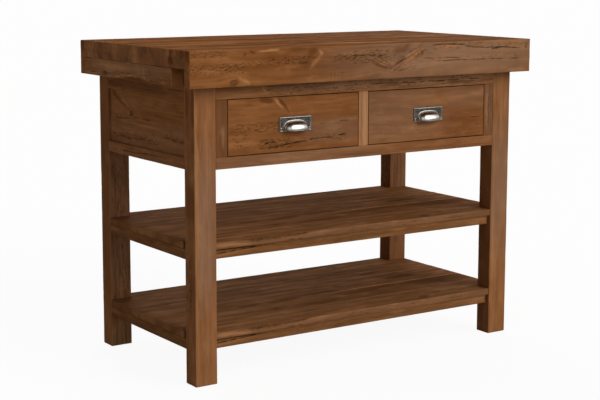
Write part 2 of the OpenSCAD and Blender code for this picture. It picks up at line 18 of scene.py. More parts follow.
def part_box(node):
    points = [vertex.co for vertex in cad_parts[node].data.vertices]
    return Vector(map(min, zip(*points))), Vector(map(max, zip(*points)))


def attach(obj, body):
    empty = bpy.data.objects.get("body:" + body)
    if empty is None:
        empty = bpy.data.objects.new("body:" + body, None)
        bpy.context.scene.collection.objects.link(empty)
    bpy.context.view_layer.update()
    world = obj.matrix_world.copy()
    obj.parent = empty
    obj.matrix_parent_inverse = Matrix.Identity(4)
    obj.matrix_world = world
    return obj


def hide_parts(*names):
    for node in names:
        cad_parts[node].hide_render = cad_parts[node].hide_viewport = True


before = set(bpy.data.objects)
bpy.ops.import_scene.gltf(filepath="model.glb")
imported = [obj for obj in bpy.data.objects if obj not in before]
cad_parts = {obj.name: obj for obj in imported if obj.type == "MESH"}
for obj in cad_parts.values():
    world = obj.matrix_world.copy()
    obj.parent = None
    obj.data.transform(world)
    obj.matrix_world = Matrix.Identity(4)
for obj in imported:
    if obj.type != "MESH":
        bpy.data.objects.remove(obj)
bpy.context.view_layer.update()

MM = 0.001
Corner = tuple[float, float, float]
Spot = tuple[float, float]
Shape = tuple[list[Corner], list[list[int]], list[float]]
LOG = logging.getLogger("kitchen_island")


class Lie(Enum):
    """How a board lies: the world axes of its length, its width and its thickness."""

    RAIL_X = (0, 2, 1)
    PLANK_X = (0, 1, 2)
    POST = (2, 0, 1)
    RAIL_Y = (1, 2, 0)
    FLAT_Y = (1, 0, 2)


class Face(Enum):
    """A face of a board: the board's own axis that it is square to, and its end of that axis."""

    START = (0, 0)
    FINISH = (0, 1)
    LOW_EDGE = (1, 0)
    HIGH_EDGE = (1, 1)
    FRONT = (2, 0)
    BACK = (2, 1)


class Coordinates(Enum):
    """Where a finish finds its grain: on the boards, or along one world axis of a plain part."""

    BOARD = "grain"
    ALONG_X = "xyz"
    ALONG_Y = "yxz"


def smooth(low: float, high: float, value: np.ndarray) -> np.ndarray:
    """Returns 0 below low, 1 above high and an even curve between them."""
    t = np.clip((value - low) / (high - low), 0.0, 1.0)
    return t * t * (3.0 - 2.0 * t)


@dataclass(frozen=True)
class Drift:
    """Even noise from 0 to 1 over two coordinates, the same for the same seed."""

    seed: int
    cell: Spot

    def __call__(self, along: np.ndarray, across: np.ndarray | float = 0.0) -> np.ndarray:
        """Samples the noise.

        Args:
            along: first coordinate, in metres.
            across: second coordinate, in metres.

        Returns:
            One value from 0 to 1 for each point.
        """
        table = np.random.default_rng(self.seed).random((64, 64))
        x, y = np.broadcast_arrays(along / self.cell[0] + 512.0, across / self.cell[1] + 512.0)
        column, row = np.floor(x).astype(int), np.floor(y).astype(int)
        fx, fy = x - column, y - row
        fx, fy = fx * fx * (3 - 2 * fx), fy * fy * (3 - 2 * fy)
        near = table[column % 64, row % 64] * (1 - fx) + table[(column + 1) % 64, row % 64] * fx
        far = table[column % 64, (row + 1) % 64] * (1 - fx)
        far = far + table[(column + 1) % 64, (row + 1) % 64] * fx
        return near * (1 - fy) + far * fy


@dataclass
class Skin:
    """One face of a board and what its marks do to each of its points.

    along and across are places on the face, in metres from its low corner.
    """

    along: np.ndarray
    across: np.ndarray

    def __post_init__(self) -> None:
        """Starts with a face that has no marks."""
        count = len(self.along)
        self.sink = np.zeros(count)
        self.knot = np.zeros(count)
        self.crack = np.zeros(count)
        self.tone = np.zeros(count)
        self.bend = np.zeros(count)
        self.worn = np.zeros(count)
        # Fading, and painted light that pales the wood, for each point.
        self.fade = np.zeros(count)

    def inside(self, low: Spot, high: Spot, soft: Spot) -> np.ndarray:
        """Finds the points in a rectangle of the face.

        Args:
            low: the rectangle's low corner.
            high: its high corner.
            soft: how wide its edges are, along and across.

        Returns:
            1 for points inside and 0 outside, with soft edges between.
        """
        share = np.ones_like(self.along)
        for place, start, end, edge in zip((self.along, self.across), low, high, soft):
            share = share * smooth(-edge, edge, place - start) * smooth(-edge, edge, end - place)
        return share

    def turned(self, at: Spot, degrees: float) -> tuple[np.ndarray, np.ndarray]:
        """Places the points on a turned line.

        Args:
            at: the spot where the line starts.
            degrees: how far it turns from the board's length.

        Returns:
            Each point's place along the line and beside it.
        """
        c, s = math.cos(math.radians(degrees)), math.sin(math.radians(degrees))
        x, y = self.along - at[0], self.across - at[1]
        return x * c + y * s, y * c - x * s

    def beside(self, start: Spot, end: Spot) -> tuple[np.ndarray, np.ndarray, float]:
        """Returns each point's place along a line and beside it, and the line's length."""
        run = (end[0] - start[0], end[1] - start[1])
        return *self.turned(start, math.degrees(math.atan2(run[1], run[0]))), math.hypot(*run)


@dataclass(frozen=True)
class Knot:
    """A knot: a dark heart in a darker ring, with the grain flowing round it."""

    at: Spot
    radius: float
    stretch: float
    degrees: float
    dark: float = 1.0

    def press(self, skin: Skin) -> None:
        """Marks the knot on a face.

        Args:
            skin: the face.
        """
        radius = self.radius * MM
        x, y = skin.turned(self.at, self.degrees)
        wobble = 0.75 + 0.5 * Drift(int(self.at[0] * 1e4) + 7, (0.006, 0.006))(x, y)
        reach = np.hypot(x / (radius * self.stretch), y / radius) * wobble
        heart = 1.0 - smooth(0.55, 1.2, reach)
        ring = np.exp(-(((reach - 0.95) / 0.22) ** 2))
        grown = 0.72 + 0.28 * np.cos(reach * 11.0)
        skin.knot = np.maximum(skin.knot, self.dark * np.maximum(heart * grown, 0.8 * ring))
        skin.crack = np.maximum(skin.crack, 0.55 * self.dark * ring * (wobble > 1.02))
        skin.sink += self.dark * (0.5 * ring - 0.25 * heart) * MM
        x, y = skin.turned(self.at, 0.0)
        pull = np.exp(-((x / (3.2 * radius * self.stretch)) ** 2) - (y / (2.4 * radius)) ** 2)
        skin.bend -= 0.9 * y * pull


@dataclass(frozen=True)
class Spike:
    """A branch sawn along its length: a ragged wedge of pale and dark streaks."""

    at: Spot
    length: float
    width: float
    degrees: float
    dark: float
    pale: float = 1.0

    def press(self, skin: Skin) -> None:
        """Marks the wedge on a face, from its point to its broad end.

        Args:
            skin: the face.
        """
        x, y = skin.turned(self.at, self.degrees)
        salt = int(self.length * 100) + int(self.at[0] * 1e4)
        way, width = x / (self.length * MM), self.width * MM
        y = y + 0.3 * width * (Drift(salt, (0.022, 1.0))(x) - 0.5)
        half = width * (0.22 + 0.42 * np.clip(way, 0.0, 1.0))
        ragged = 0.12 * (Drift(salt + 1, (0.5, 0.004))(x, y) - 0.5)
        inside = smooth(-0.04, 0.06, way + ragged) * (1.0 - smooth(0.8, 1.05, way + 2.0 * ragged))
        body = (1.0 - smooth(0.55, 1.1, np.abs(y) / half)) * inside
        edge = np.exp(-(((np.abs(y) - 0.95 * half) / (0.3 * half + 0.6 * MM)) ** 2)) * inside
        streaks = Drift(salt + 2, (0.045, 0.0034))(x, y)
        patch = Drift(salt + 3, (0.014, 0.006))(x, y)
        skin.tone += self.pale * body * (1.5 * streaks - 0.35)
        dark = smooth(0.5, 0.85, 1.0 - streaks) * body + edge * smooth(0.35, 0.7, patch)
        skin.knot = np.maximum(skin.knot, 0.6 * self.dark * np.minimum(dark, 1.0))
        skin.sink += 0.35 * MM * edge * self.dark * patch
        skin.bend -= 0.35 * y * np.exp(-(((way - 0.5) / 0.9) ** 2) - (y / (3.0 * width)) ** 2)


@dataclass(frozen=True)
class Crack:
    """A check in the wood: a dark wandering line, open in places."""

    start: Spot
    end: Spot
    width: float
    depth: float
    wander: float
    gaps: float
    seed: int

    def press(self, skin: Skin) -> None:
        """Marks the crack on a face.

        Args:
            skin: the face.
        """
        x, y, length = skin.beside(self.start, self.end)
        wander = self.wander * MM
        y = y - wander * (Drift(self.seed, (0.045, 1.0))(x) - 0.5)
        y = y - 0.3 * wander * (Drift(self.seed + 5, (0.009, 1.0))(x) - 0.5)
        ends = smooth(0.0, 0.08, x / length) * (1.0 - smooth(0.9, 1.0, x / length))
        open_part = smooth(self.gaps - 0.12, self.gaps + 0.12, Drift(self.seed + 9, (0.016, 1.0))(x))
        breadth = self.width * MM * (0.45 + 0.9 * Drift(self.seed + 2, (0.012, 1.0))(x))
        line = np.exp(-((y / breadth) ** 2)) * ends * open_part
        skin.crack = np.maximum(skin.crack, line)
        skin.sink += self.depth * MM * line


@dataclass(frozen=True)
class Pits:
    """A field of short dashes along the grain, dark with a pale lip, as an old surface wears into."""

    low: Spot
    high: Spot
    count: int
    length: float
    width: float
    depth: float
    dark: float
    seed: int
    worn: float = 0.7

    def press(self, skin: Skin) -> None:
        """Marks the dashes on a face, and the worn ground that they lie in.

        Args:
            skin: the face.
        """
        rng = np.random.default_rng(self.seed)
        ground = skin.inside(self.low, self.high, (0.03, 6.0 * MM))
        patch = smooth(0.25, 0.6, Drift(self.seed, (0.035, 0.012))(skin.along, skin.across))
        skin.worn = np.maximum(skin.worn, self.worn * ground * patch)
        for share in rng.random((self.count, 5)):
            at = [self.low[n] + share[n] * (self.high[n] - self.low[n]) for n in (0, 1)]
            half = self.length * MM * (0.3 + 0.8 * share[2] ** 2)
            breadth = self.width * MM * (0.6 + 0.7 * share[3])
            near = np.flatnonzero(
                (np.abs(skin.along - at[0]) < 2.5 * half) & (np.abs(skin.across - at[1]) < 5.0 * breadth)
            )
            x, y = skin.along[near] - at[0], skin.across[near] - at[1]
            y = y - (0.5 * share[4] - 0.2) * 0.3 * x
            dash = np.exp(-((x / half) ** 4) - (y / breadth) ** 2) * (0.5 + 0.5 * share[4])
            skin.crack[near] = np.maximum(skin.crack[near], self.dark * dash)
            skin.sink[near] += self.depth * MM * dash
            skin.tone[near] += 0.35 * self.dark * np.exp(-((x / half) ** 4) - (y / breadth - 2.2) ** 2)


@dataclass(frozen=True)
class Streak:
    """A soft band with tapered ends that is paler, or darker where tone is below 0."""

    start: Spot
    end: Spot
    width: float
    tone: float

    def press(self, skin: Skin) -> None:
        """Marks the band on a face.

        Args:
            skin: the face.
        """
        x, y, length = skin.beside(self.start, self.end)
        way, width, salt = np.clip(x / length, 0.0, 1.0), self.width * MM, int(length * 1e4)
        ragged = 0.6 + 0.8 * Drift(salt, (0.02, width / 3))(x, y)
        taper = (4.0 * way * (1.0 - way)) ** 0.4 + 0.05
        y = y + 0.8 * width * (Drift(salt + 3, (0.03, 1.0))(x) - 0.5)
        ends = smooth(0.0, 0.35, way) * (1.0 - smooth(0.65, 1.0, way))
        skin.tone += self.tone * np.exp(-((y / (width * ragged * taper)) ** 2)) * ends


@dataclass(frozen=True)
class FadeAndPaintedLight:
    """A part of a face that is paler and greyer: turned so by light and use in some places, and painted
    light, such as a sheen, in others.
    """

    low: Spot
    high: Spot
    share: float
    soft: Spot = (0.12, 0.02)

    def press(self, skin: Skin) -> None:
        """Marks the paler and greyer part on a face."""
        skin.fade = np.maximum(skin.fade, self.share * skin.inside(self.low, self.high, self.soft))


@dataclass(frozen=True)
class Weather:
    """Raised grain: the soft wood worn away between harder lines, in a part of a face."""

    low: Spot
    high: Spot
    depth: float
    line: Spot
    dark: float
    seed: int
    worn: float = 0.0

    def press(self, skin: Skin) -> None:
        """Marks the worn part on a face.

        Args:
            skin: the face.
        """
        inside = skin.inside(self.low, self.high, (6.0 * MM, 6.0 * MM))
        lines = Drift(self.seed, self.line)(skin.along, skin.across)
        fine = Drift(self.seed + 1, (self.line[0] / 3, self.line[1] / 1.7))(skin.along, skin.across)
        hollow = smooth(0.45, 0.85, 0.6 * lines + 0.4 * fine) * inside
        skin.sink += self.depth * MM * hollow
        skin.crack = np.maximum(skin.crack, self.dark * hollow)
        patch = smooth(0.2, 0.6, Drift(self.seed + 2, (0.05, 0.02))(skin.along, skin.across))
        skin.worn = np.maximum(skin.worn, self.worn * inside * patch)


Mark = Knot | Spike | Crack | Pits | Streak | FadeAndPaintedLight | Weather


def rulings(low: float, high: float, step: float, arris: float, stops: list[float]) -> np.ndarray:
    """Places the lines of a board's grid along one of its axes, closer at the arrises.

    Args:
        low: where the board begins.
        high: where the board ends.
        step: distance between lines away from the arrises.
        arris: largest radius of the rounded arris.
        stops: places that need a line of their own.

    Returns:
        The places in rising order.
    """
    bend = 0.4
    joints = sorted({low + arris, high - arris, *[s for s in stops if low + arris < s < high - arris]})
    lines = [low, low + bend * arris]
    for a, b in zip(joints, joints[1:]):
        lines += list(np.linspace(a, b, max(1, round((b - a) / step)) + 1)[:-1])
    return np.array([*lines, high - arris, high - bend * arris, high])


def outer_quads(solid: np.ndarray) -> np.ndarray:
    """Finds the quads that show on a body of cells.

    Args:
        solid: for each cell of a grid, whether it holds wood.

    Returns:
        For each quad, the three grid indices of its four corners, turned outward.
    """
    padded = np.pad(solid, 1)
    found = []
    for axis in range(3):
        first, second = (axis + 1) % 3, (axis + 2) % 3
        for side in (0, 1):
            bare = padded & ~np.roll(padded, 1 if side == 0 else -1, axis)
            cell = np.argwhere(bare) - 1
            cell[:, axis] += side
            loop = [(0, 0), (1, 0), (1, 1), (0, 1)]
            quad = np.repeat(cell[:, None, :], 4, axis=1)
            for n, (a, b) in enumerate(loop if side else loop[::-1]):
                quad[:, n, first] += a
                quad[:, n, second] += b
            found.append(quad)
    return np.concatenate(found)


@dataclass
class Board:
    """A sawn board: its box, how it lies, what hands and years did to it, and painted light and shade."""

    low: Corner
    high: Corner
    lie: Lie
    seed: int
    step: Corner
    arris: float
    rough: float = 1.0
    tint: float = 0.0
    pith: Spot = (0.01, 0.09)
    notches: list[tuple[Corner, Corner]] = field(default_factory=list)
    marks: dict[Face, list[Mark]] = field(default_factory=dict)
    end_squeeze: Spot = (0.4, 0.2)
    end_dark: float = 0.2
    hollow_mm: float = 0.35
    ridge_mm: float = 0.14
    cloud: float = 0.16

    def own(self, point: Corner) -> np.ndarray:
        """Returns a world point along the board's own length, width and thickness."""
        return np.array([point[axis] for axis in self.lie.value])

    def grid(self) -> tuple[np.ndarray, np.ndarray, np.ndarray, np.ndarray]:
        """Cuts the board into cells and keeps its skin.

        Returns:
            The skin's points in the board's own axes, their grid indices, the quads, and the
            number of lines on each axis.
        """
        low, high = self.own(self.low), self.own(self.high)
        cuts = [(self.own(a), self.own(b)) for a, b in self.notches]
        widest = 1.7 * self.arris
        lines = [
            rulings(low[n], high[n], self.step[n], widest, [float(c[n]) for cut in cuts for c in cut])
            for n in range(3)
        ]
        middles = np.meshgrid(*[(line[1:] + line[:-1]) / 2 for line in lines], indexing="ij")
        solid = np.ones(middles[0].shape, bool)
        for a, b in cuts:
            inside = [(middles[n] > min(a[n], b[n])) & (middles[n] < max(a[n], b[n])) for n in range(3)]
            solid &= ~(inside[0] & inside[1] & inside[2])
        counts = np.array([len(line) for line in lines])
        flat = np.ravel_multi_index(np.moveaxis(outer_quads(solid), -1, 0), counts)
        used, quads = np.unique(flat, return_inverse=True)
        index = np.stack(np.unravel_index(used, counts), axis=1)
        points = np.stack([lines[n][index[:, n]] for n in range(3)], axis=1)
        return points, index, quads.reshape(flat.shape), counts

    def round_over(self, points: np.ndarray) -> tuple[np.ndarray, np.ndarray]:
        """Rounds the arrises by an amount that changes along them.

        Args:
            points: the skin's points in the board's own axes.

        Returns:
            The rounded points, and for each how far it lies over an arris, from 0 to 1.
        """
        low, high = self.own(self.low), self.own(self.high)
        which = 0.11 * points[:, 1] / (high[1] - low[1]) + 0.23 * points[:, 2] / (high[2] - low[2])
        radius = self.arris * (0.45 + 0.75 * Drift(self.seed, (0.05, 0.02))(points[:, 0], which))
        chip = Drift(self.seed + 1, (0.013, 0.015))(points[:, 0], which)
        radius = radius + self.arris * self.rough * 0.6 * smooth(0.78, 0.95, chip)
        radius = np.minimum(radius, 1.65 * self.arris)[:, None]
        core = np.clip(points, low + radius, high - radius)
        out = points - core
        length = np.linalg.norm(out, axis=1, keepdims=True)
        rounded = np.where(length > 1e-9, core + out * radius / np.maximum(length, 1e-9), points)
        over = np.sort(np.abs(out) / radius, axis=1)[:, 1]
        return rounded, smooth(0.15, 0.85, over)

    def wear(self, skin: Skin, which: Face) -> None:
        """Gives a long face the slight hollows and the raised grain that every board has.

        Args:
            skin: the face.
            which: which face of the board it is.
        """
        salt = self.seed * 7 + which.value[0] * 3 + which.value[1]
        hollow = Drift(salt, (0.14, 0.035))(skin.along, skin.across)
        ridge = Drift(salt + 2, (0.12, 0.0042))(skin.along, skin.across)
        skin.sink += self.rough * (self.hollow_mm * hollow + self.ridge_mm * ridge) * MM
        skin.tone += self.cloud * (Drift(salt + 4, (0.16, 0.028))(skin.along, skin.across) - 0.5)

    def build(self) -> dict[str, np.ndarray]:
        """Makes the board.

        Returns:
            The arrays points, quads, grain, marks and age of its skin, in world axes.
        """
        points, index, quads, counts = self.grid()
        low, high = self.own(self.low), self.own(self.high)
        placed, over = self.round_over(points)
        grain = points.copy()
        marks = np.zeros_like(points)
        age = np.zeros_like(points)
        for which in Face:
            axis, side = which.value
            here = index[:, axis] == (counts[axis] - 1 if side else 0)
            first, second = [n for n in range(3) if n != axis]
            place = points[here] - low
            skin = Skin(place[:, first], place[:, second])
            if axis:
                self.wear(skin, which)
            else:
                grain[here, 1:] = low[1:] + np.array(self.end_squeeze) * (grain[here, 1:] - low[1:])
            for mark in self.marks.get(which, []):
                mark.press(skin)
            placed[here, axis] += skin.sink * (-1.0 if side else 1.0)
            grain[here, second if axis else first] += skin.bend
            marks[here, 0] = np.maximum(marks[here, 0], skin.knot)
            marks[here, 1] = np.maximum(marks[here, 1], skin.crack)
            marks[here, 2] += skin.tone - (0.0 if axis else self.end_dark)
            age[here, 0] = np.maximum(age[here, 0], skin.worn)
            # The second age channel holds fading together with painted light.
            age[here, 1] = np.maximum(age[here, 1], skin.fade)
        placed = np.clip(placed, low, high)
        worn = Drift(self.seed + 3, (0.03, 0.02))(points[:, 0], points[:, 1] + points[:, 2])
        marks[:, 2] += self.tint + 0.9 * self.rough * over * (worn - 0.15)
        age[:, 0] = np.maximum(age[:, 0], 0.4 * self.rough * over * smooth(0.5, 0.8, worn))
        shift = np.random.default_rng(self.seed).random() * 9.0
        grain = grain - (low + high) / 2 + np.array([shift, *self.pith])
        world = np.empty_like(placed)
        world[:, list(self.lie.value)] = placed
        odd = np.linalg.det(np.eye(3)[list(self.lie.value)]) < 0
        return {"points": world, "quads": quads[:, ::-1] if odd else quads, "grain": grain,
                "marks": marks, "age": age}


def mesh_from(name: str, points: np.ndarray, quads: np.ndarray, crease: float) -> bpy.types.Mesh:
    """Makes a smooth-shaded mesh.

    Args:
        name: the mesh's name.
        points: its points.
        quads: for each face, the indices of its four points.
        crease: edges that turn by more degrees than this are sharp.

    Returns:
        The mesh.
    """
    mesh = bpy.data.meshes.new(name)
    mesh.vertices.add(len(points))
    mesh.vertices.foreach_set("co", points.astype(np.float32).ravel())
    mesh.loops.add(quads.size)
    mesh.loops.foreach_set("vertex_index", quads.astype(np.int32).ravel())
    mesh.polygons.add(len(quads))
    mesh.polygons.foreach_set("loop_start", np.arange(0, quads.size, 4, dtype=np.int32))
    mesh.update(calc_edges=True)
    mesh.polygons.foreach_set("use_smooth", np.ones(len(quads), bool))
    mesh.set_sharp_from_angle(angle=math.radians(crease))
    return mesh


def add_field(mesh: bpy.types.Mesh, name: str, values: np.ndarray) -> None:
    """Stores a number or a vector for each point of a mesh, for the finish to read.

    Args:
        mesh: the mesh.
        name: the name that the finish knows the values by.
        values: a row for each point.
    """
    vector = values.ndim == 2
    kind = "FLOAT_VECTOR" if vector else "FLOAT"
    store = mesh.attributes.new(name, kind, "POINT")
    store.data.foreach_set("vector" if vector else "value", values.astype(np.float32).ravel())


class Graph:
    """Places nodes in one node tree and links them."""

    def __init__(self, tree: bpy.types.NodeTree) -> None:
        """Starts on a tree.

        Args:
            tree: the tree of a material or of the world.
        """
        self.tree = tree

    @classmethod
    def of_material(cls, name: str) -> tuple["Graph", bpy.types.Material, bpy.types.Node]:
        """Starts a new material.

        Args:
            name: the material's name.

        Returns:
            Its graph, the material, and its surface shader.
        """
        material = bpy.data.materials.new(name)
        material.use_nodes = True
        return cls(material.node_tree), material, material.node_tree.nodes["Principled BSDF"]

    def node(self, kind: str, inputs: dict[str | int, object] | None = None,
             **settings: object) -> bpy.types.Node:
        """Adds a node.

        Args:
            kind: the node's type.
            inputs: for each input, by name or number, a value or a socket to link.
            **settings: the node's own settings.

        Returns:
            The node.
        """
        made = self.tree.nodes.new(kind)
        for key, value in settings.items():
            setattr(made, key, value)
        for key, value in (inputs or {}).items():
            if isinstance(value, bpy.types.NodeSocket):
                self.tree.links.new(value, made.inputs[key])
            else:
                made.inputs[key].default_value = value
        return made

    def math(self, operation: str, *values: object, clamp: bool = False) -> bpy.types.NodeSocket:
        """Returns the result of a sum on sockets or numbers."""
        made = self.node("ShaderNodeMath", dict(enumerate(values)), operation=operation, use_clamp=clamp)
        return made.outputs[0]

    def noise(self, place: bpy.types.NodeSocket, stretch: Corner, detail: float = 3.0,
              rough: float = 0.55, warp: float = 0.0) -> bpy.types.NodeSocket:
        """Returns noise from 0 to 1.

        Args:
            place: the coordinates to sample at.
            stretch: cells to the metre along each coordinate.
            detail: how many finer layers are added.
            rough: how strong the finer layers are.
            warp: how far the noise is bent.

        Returns:
            The noise's socket.
        """
        scaled = self.node("ShaderNodeVectorMath", {0: place, 1: stretch}, operation="MULTIPLY")
        made = self.node("ShaderNodeTexNoise", {
            "Vector": scaled.outputs[0], "Scale": 1.0, "Detail": detail, "Roughness": rough,
            "Distortion": warp})
        return made.outputs["Fac"]

    def between(self, value: bpy.types.NodeSocket, low: float, high: float, start: float = 0.0,
                end: float = 1.0) -> bpy.types.NodeSocket:
        """Maps a value's range on another one, evenly curved, and holds it there.

        Args:
            value: the value.
            low: where its range starts.
            high: where its range ends, which may be below low.
            start: the result at low.
            end: the result at high.

        Returns:
            The result's socket.
        """
        made = self.node("ShaderNodeMapRange", {
            "Value": value, "From Min": low, "From Max": high, "To Min": start, "To Max": end})
        made.interpolation_type = "SMOOTHSTEP"
        return made.outputs[0]

    def mix(self, share: object, a: object, b: object, blend: str = "MIX") -> bpy.types.NodeSocket:
        """Mixes two colours.

        Args:
            share: how much of the second colour there is, from 0 to 1.
            a: the first colour.
            b: the second colour.
            blend: how they mix.

        Returns:
            The mixed colour's socket.
        """
        made = self.node("ShaderNodeMix", data_type="RGBA", blend_type=blend)
        for key, value in (("Factor_Float", share), ("A_Color", a), ("B_Color", b)):
            socket = next(s for s in made.inputs if s.identifier == key)
            if isinstance(value, bpy.types.NodeSocket):
                self.tree.links.new(value, socket)
            else:
                socket.default_value = value
        return next(s for s in made.outputs if s.identifier == "Result_Color")

    def by_ray(self, plain: bpy.types.Node, mirrored: bpy.types.Node,
               seen: bpy.types.Node) -> bpy.types.NodeSocket:
        """Picks a shader by the ray that meets it.

        Args:
            plain: the shader for light that bounces.
            mirrored: the shader that polished metal shows.
            seen: the shader that the camera sees.

        Returns:
            The picked shader's socket.
        """
        ray, mixed = self.node("ShaderNodeLightPath"), plain
        for name, shader in (("Is Glossy Ray", mirrored), ("Is Camera Ray", seen)):
            mixed = self.node("ShaderNodeMixShader", {
                "Fac": ray.outputs[name], 1: mixed.outputs[0], 2: shader.outputs[0]})
        return mixed.outputs[0]


def tone(red: int, green: int, blue: int) -> tuple[float, float, float, float]:
    """Returns a colour of the screen, 0 to 255, as the linear colour that a shader takes."""
    shares = (c / 255 for c in (red, green, blue))
    return *[c / 12.92 if c <= 0.04045 else ((c + 0.055) / 1.055) ** 2.4 for c in shares], 1.0


@dataclass(frozen=True)
class WaxedPine:
    """Stained and waxed pine: growth rings round a pith, fibres, blotches, and the boards' marks."""

    name: str
    early: tuple[int, int, int]
    late: tuple[int, int, int]
    deep: tuple[int, int, int]
    pale: tuple[int, int, int]
    contrast: float
    blotch: float
    # The pale grey that fading turns the wood to; painted light and sheen use it too.
    dry_and_lit_colour: tuple[int, int, int] = (146, 112, 88)
    ring: float = 5.0 * MM
    sheen: float = 0.55
    sheen_swing: Spot = (-0.08, 0.1)
    bump: float = 0.55
    relief: float = 0.3 * MM
    specular: float = 0.015
    coordinates: Coordinates = Coordinates.BOARD
    plain_pith: Corner = (0.0, 0.03, 0.11)
    slot: str = ""

    def place(self, graph: Graph) -> bpy.types.NodeSocket:
        """Finds the place in the wood: along the grain, then across it twice.

        Args:
            graph: the material's nodes.

        Returns:
            The place's socket.
        """
        if self.coordinates is Coordinates.BOARD:
            return graph.node("ShaderNodeAttribute", attribute_name="grain").outputs["Vector"]
        here = graph.node("ShaderNodeTexCoord").outputs["Object"]
        apart = graph.node("ShaderNodeSeparateXYZ", {0: here})
        order = ["xyz".index(letter) for letter in self.coordinates.value]
        joined = graph.node("ShaderNodeCombineXYZ", {n: apart.outputs[k] for n, k in enumerate(order)})
        moved = {0: joined.outputs[0], 1: self.plain_pith}
        return graph.node("ShaderNodeVectorMath", moved, operation="ADD").outputs[0]

    def rings(self, graph: Graph, place: bpy.types.NodeSocket) -> bpy.types.NodeSocket:
        """Draws the growth rings.

        Args:
            graph: the material's nodes.
            place: the place in the wood.

        Returns:
            A socket with 0 in the early wood, rising to 1 in the late wood.
        """
        apart = graph.node("ShaderNodeSeparateXYZ", {0: place})
        sway = graph.between(graph.noise(place, (1.7, 2.0, 2.0), 1.0), 0.2, 0.8, -0.022, 0.022)
        swell = graph.between(graph.noise(place, (2.6, 9.0, 9.0), 2.0), 0.2, 0.8, -0.011, 0.011)
        y = graph.math("ADD", apart.outputs[1], sway)
        z = graph.math("ADD", apart.outputs[2], swell)
        square = graph.math("ADD", graph.math("MULTIPLY", y, y), graph.math("MULTIPLY", z, z))
        radius = graph.math("SQRT", square)
        jitter = graph.between(graph.noise(place, (9.0, 60.0, 60.0), 2.0), 0.2, 0.8, -0.0012, 0.0012)
        count = graph.math("DIVIDE", graph.math("ADD", radius, jitter), self.ring)
        year = graph.math("FRACT", count)
        rise = graph.between(year, 0.25, 0.86)
        fall = graph.between(year, 0.9, 1.0, 1.0, 0.0)
        return graph.math("MULTIPLY", rise, fall)

    def grown(self, graph: Graph, place: bpy.types.NodeSocket,
              rings: bpy.types.NodeSocket) -> bpy.types.NodeSocket:
        """Mixes the colour that the wood grew with and the stain gave it.

        Args:
            graph: the material's nodes.
            place: the place in the wood.
            rings: the growth rings.

        Returns:
            The colour's socket.
        """
        late, pale, deep = tone(*self.late), tone(*self.pale), tone(*self.deep)
        worth = graph.between(graph.noise(place, (3.0, 26.0, 26.0), 3.0), 0.35, 0.65, 0.1, 1.0)
        share = graph.math("MULTIPLY", graph.math("MULTIPLY", rings, worth), self.contrast)
        base = graph.mix(share, tone(*self.early), late)
        most = self.blotch
        layers = (
            ((1.8, 11.0, 11.0), 2.0, 0.5, [(0.42, 0.68, 0.75 * most, late)]),
            ((3.6, 46.0, 46.0), 1.5, 0.5, [(0.48, 0.74, most, late), (0.48, 0.26, 0.6 * most, pale)]),
            ((15.0, 42.0, 42.0), 2.0, 0.5, [(0.5, 0.78, 0.8 * most, late),
                                            (0.48, 0.25, 0.5 * most, pale)]),
            ((14.0, 900.0, 900.0), 3.0, 0.7, [(0.52, 0.8, 0.42, late)]),
            ((7.0, 260.0, 260.0), 3.0, 0.6, [(0.6, 0.78, 0.45, deep), (0.42, 0.25, 0.25, pale)]),
        )
        for stretch, detail, rough, stains in layers:
            grain = graph.noise(place, stretch, detail, rough)
            for low, high, share, stain in stains:
                base = graph.mix(graph.between(grain, low, high, 0.0, share), base, stain)
        return base

    def colour(self, graph: Graph, base: bpy.types.NodeSocket, flecks: bpy.types.NodeSocket,
               marks: bpy.types.Node, age: bpy.types.Node) -> bpy.types.NodeSocket:
        """Lays the marks, the wear, and the painted light and shade over the grown colour.

        Args:
            graph: the material's nodes.
            base: the grown colour.
            flecks: fine noise for worn ground.
            marks: the node that splits the marks into knots, cracks and tone.
            age: the node that splits the wear into worn ground, and fading together with painted light.

        Returns:
            The colour's socket.
        """
        knots, cracks, tones = marks.outputs
        worn, fade_and_light_share = age.outputs[:2]
        # The second age channel carries fading and painted light alike; both pale and grey the wood
        # toward the same colour.
        for share, blend in ((1.0, "COLOR"), (0.45, "MIX")):
            part = graph.math("MULTIPLY", fade_and_light_share, share, clamp=True)
            base = graph.mix(part, base, tone(*self.dry_and_lit_colour), blend)
        for end, stain in ((1.0, self.pale), (-1.0, self.late)):
            base = graph.mix(graph.between(tones, 0.0, end, 0.0, 0.9), base, tone(*stain))
        for low, high, share, stain in ((0.45, 0.34, 0.4, self.pale), (0.53, 0.66, 0.85, self.deep)):
            fleck = graph.math("MULTIPLY", graph.between(flecks, low, high), worn, clamp=True)
            base = graph.mix(graph.math("MULTIPLY", fleck, share), base, tone(*stain))
        black = [round(0.42 * c) for c in self.deep]
        for mark, share, stain in ((knots, 0.85, self.deep), (cracks, 0.92, black)):
            base = graph.mix(graph.math("MULTIPLY", mark, share, clamp=True), base, tone(*stain))
        return base

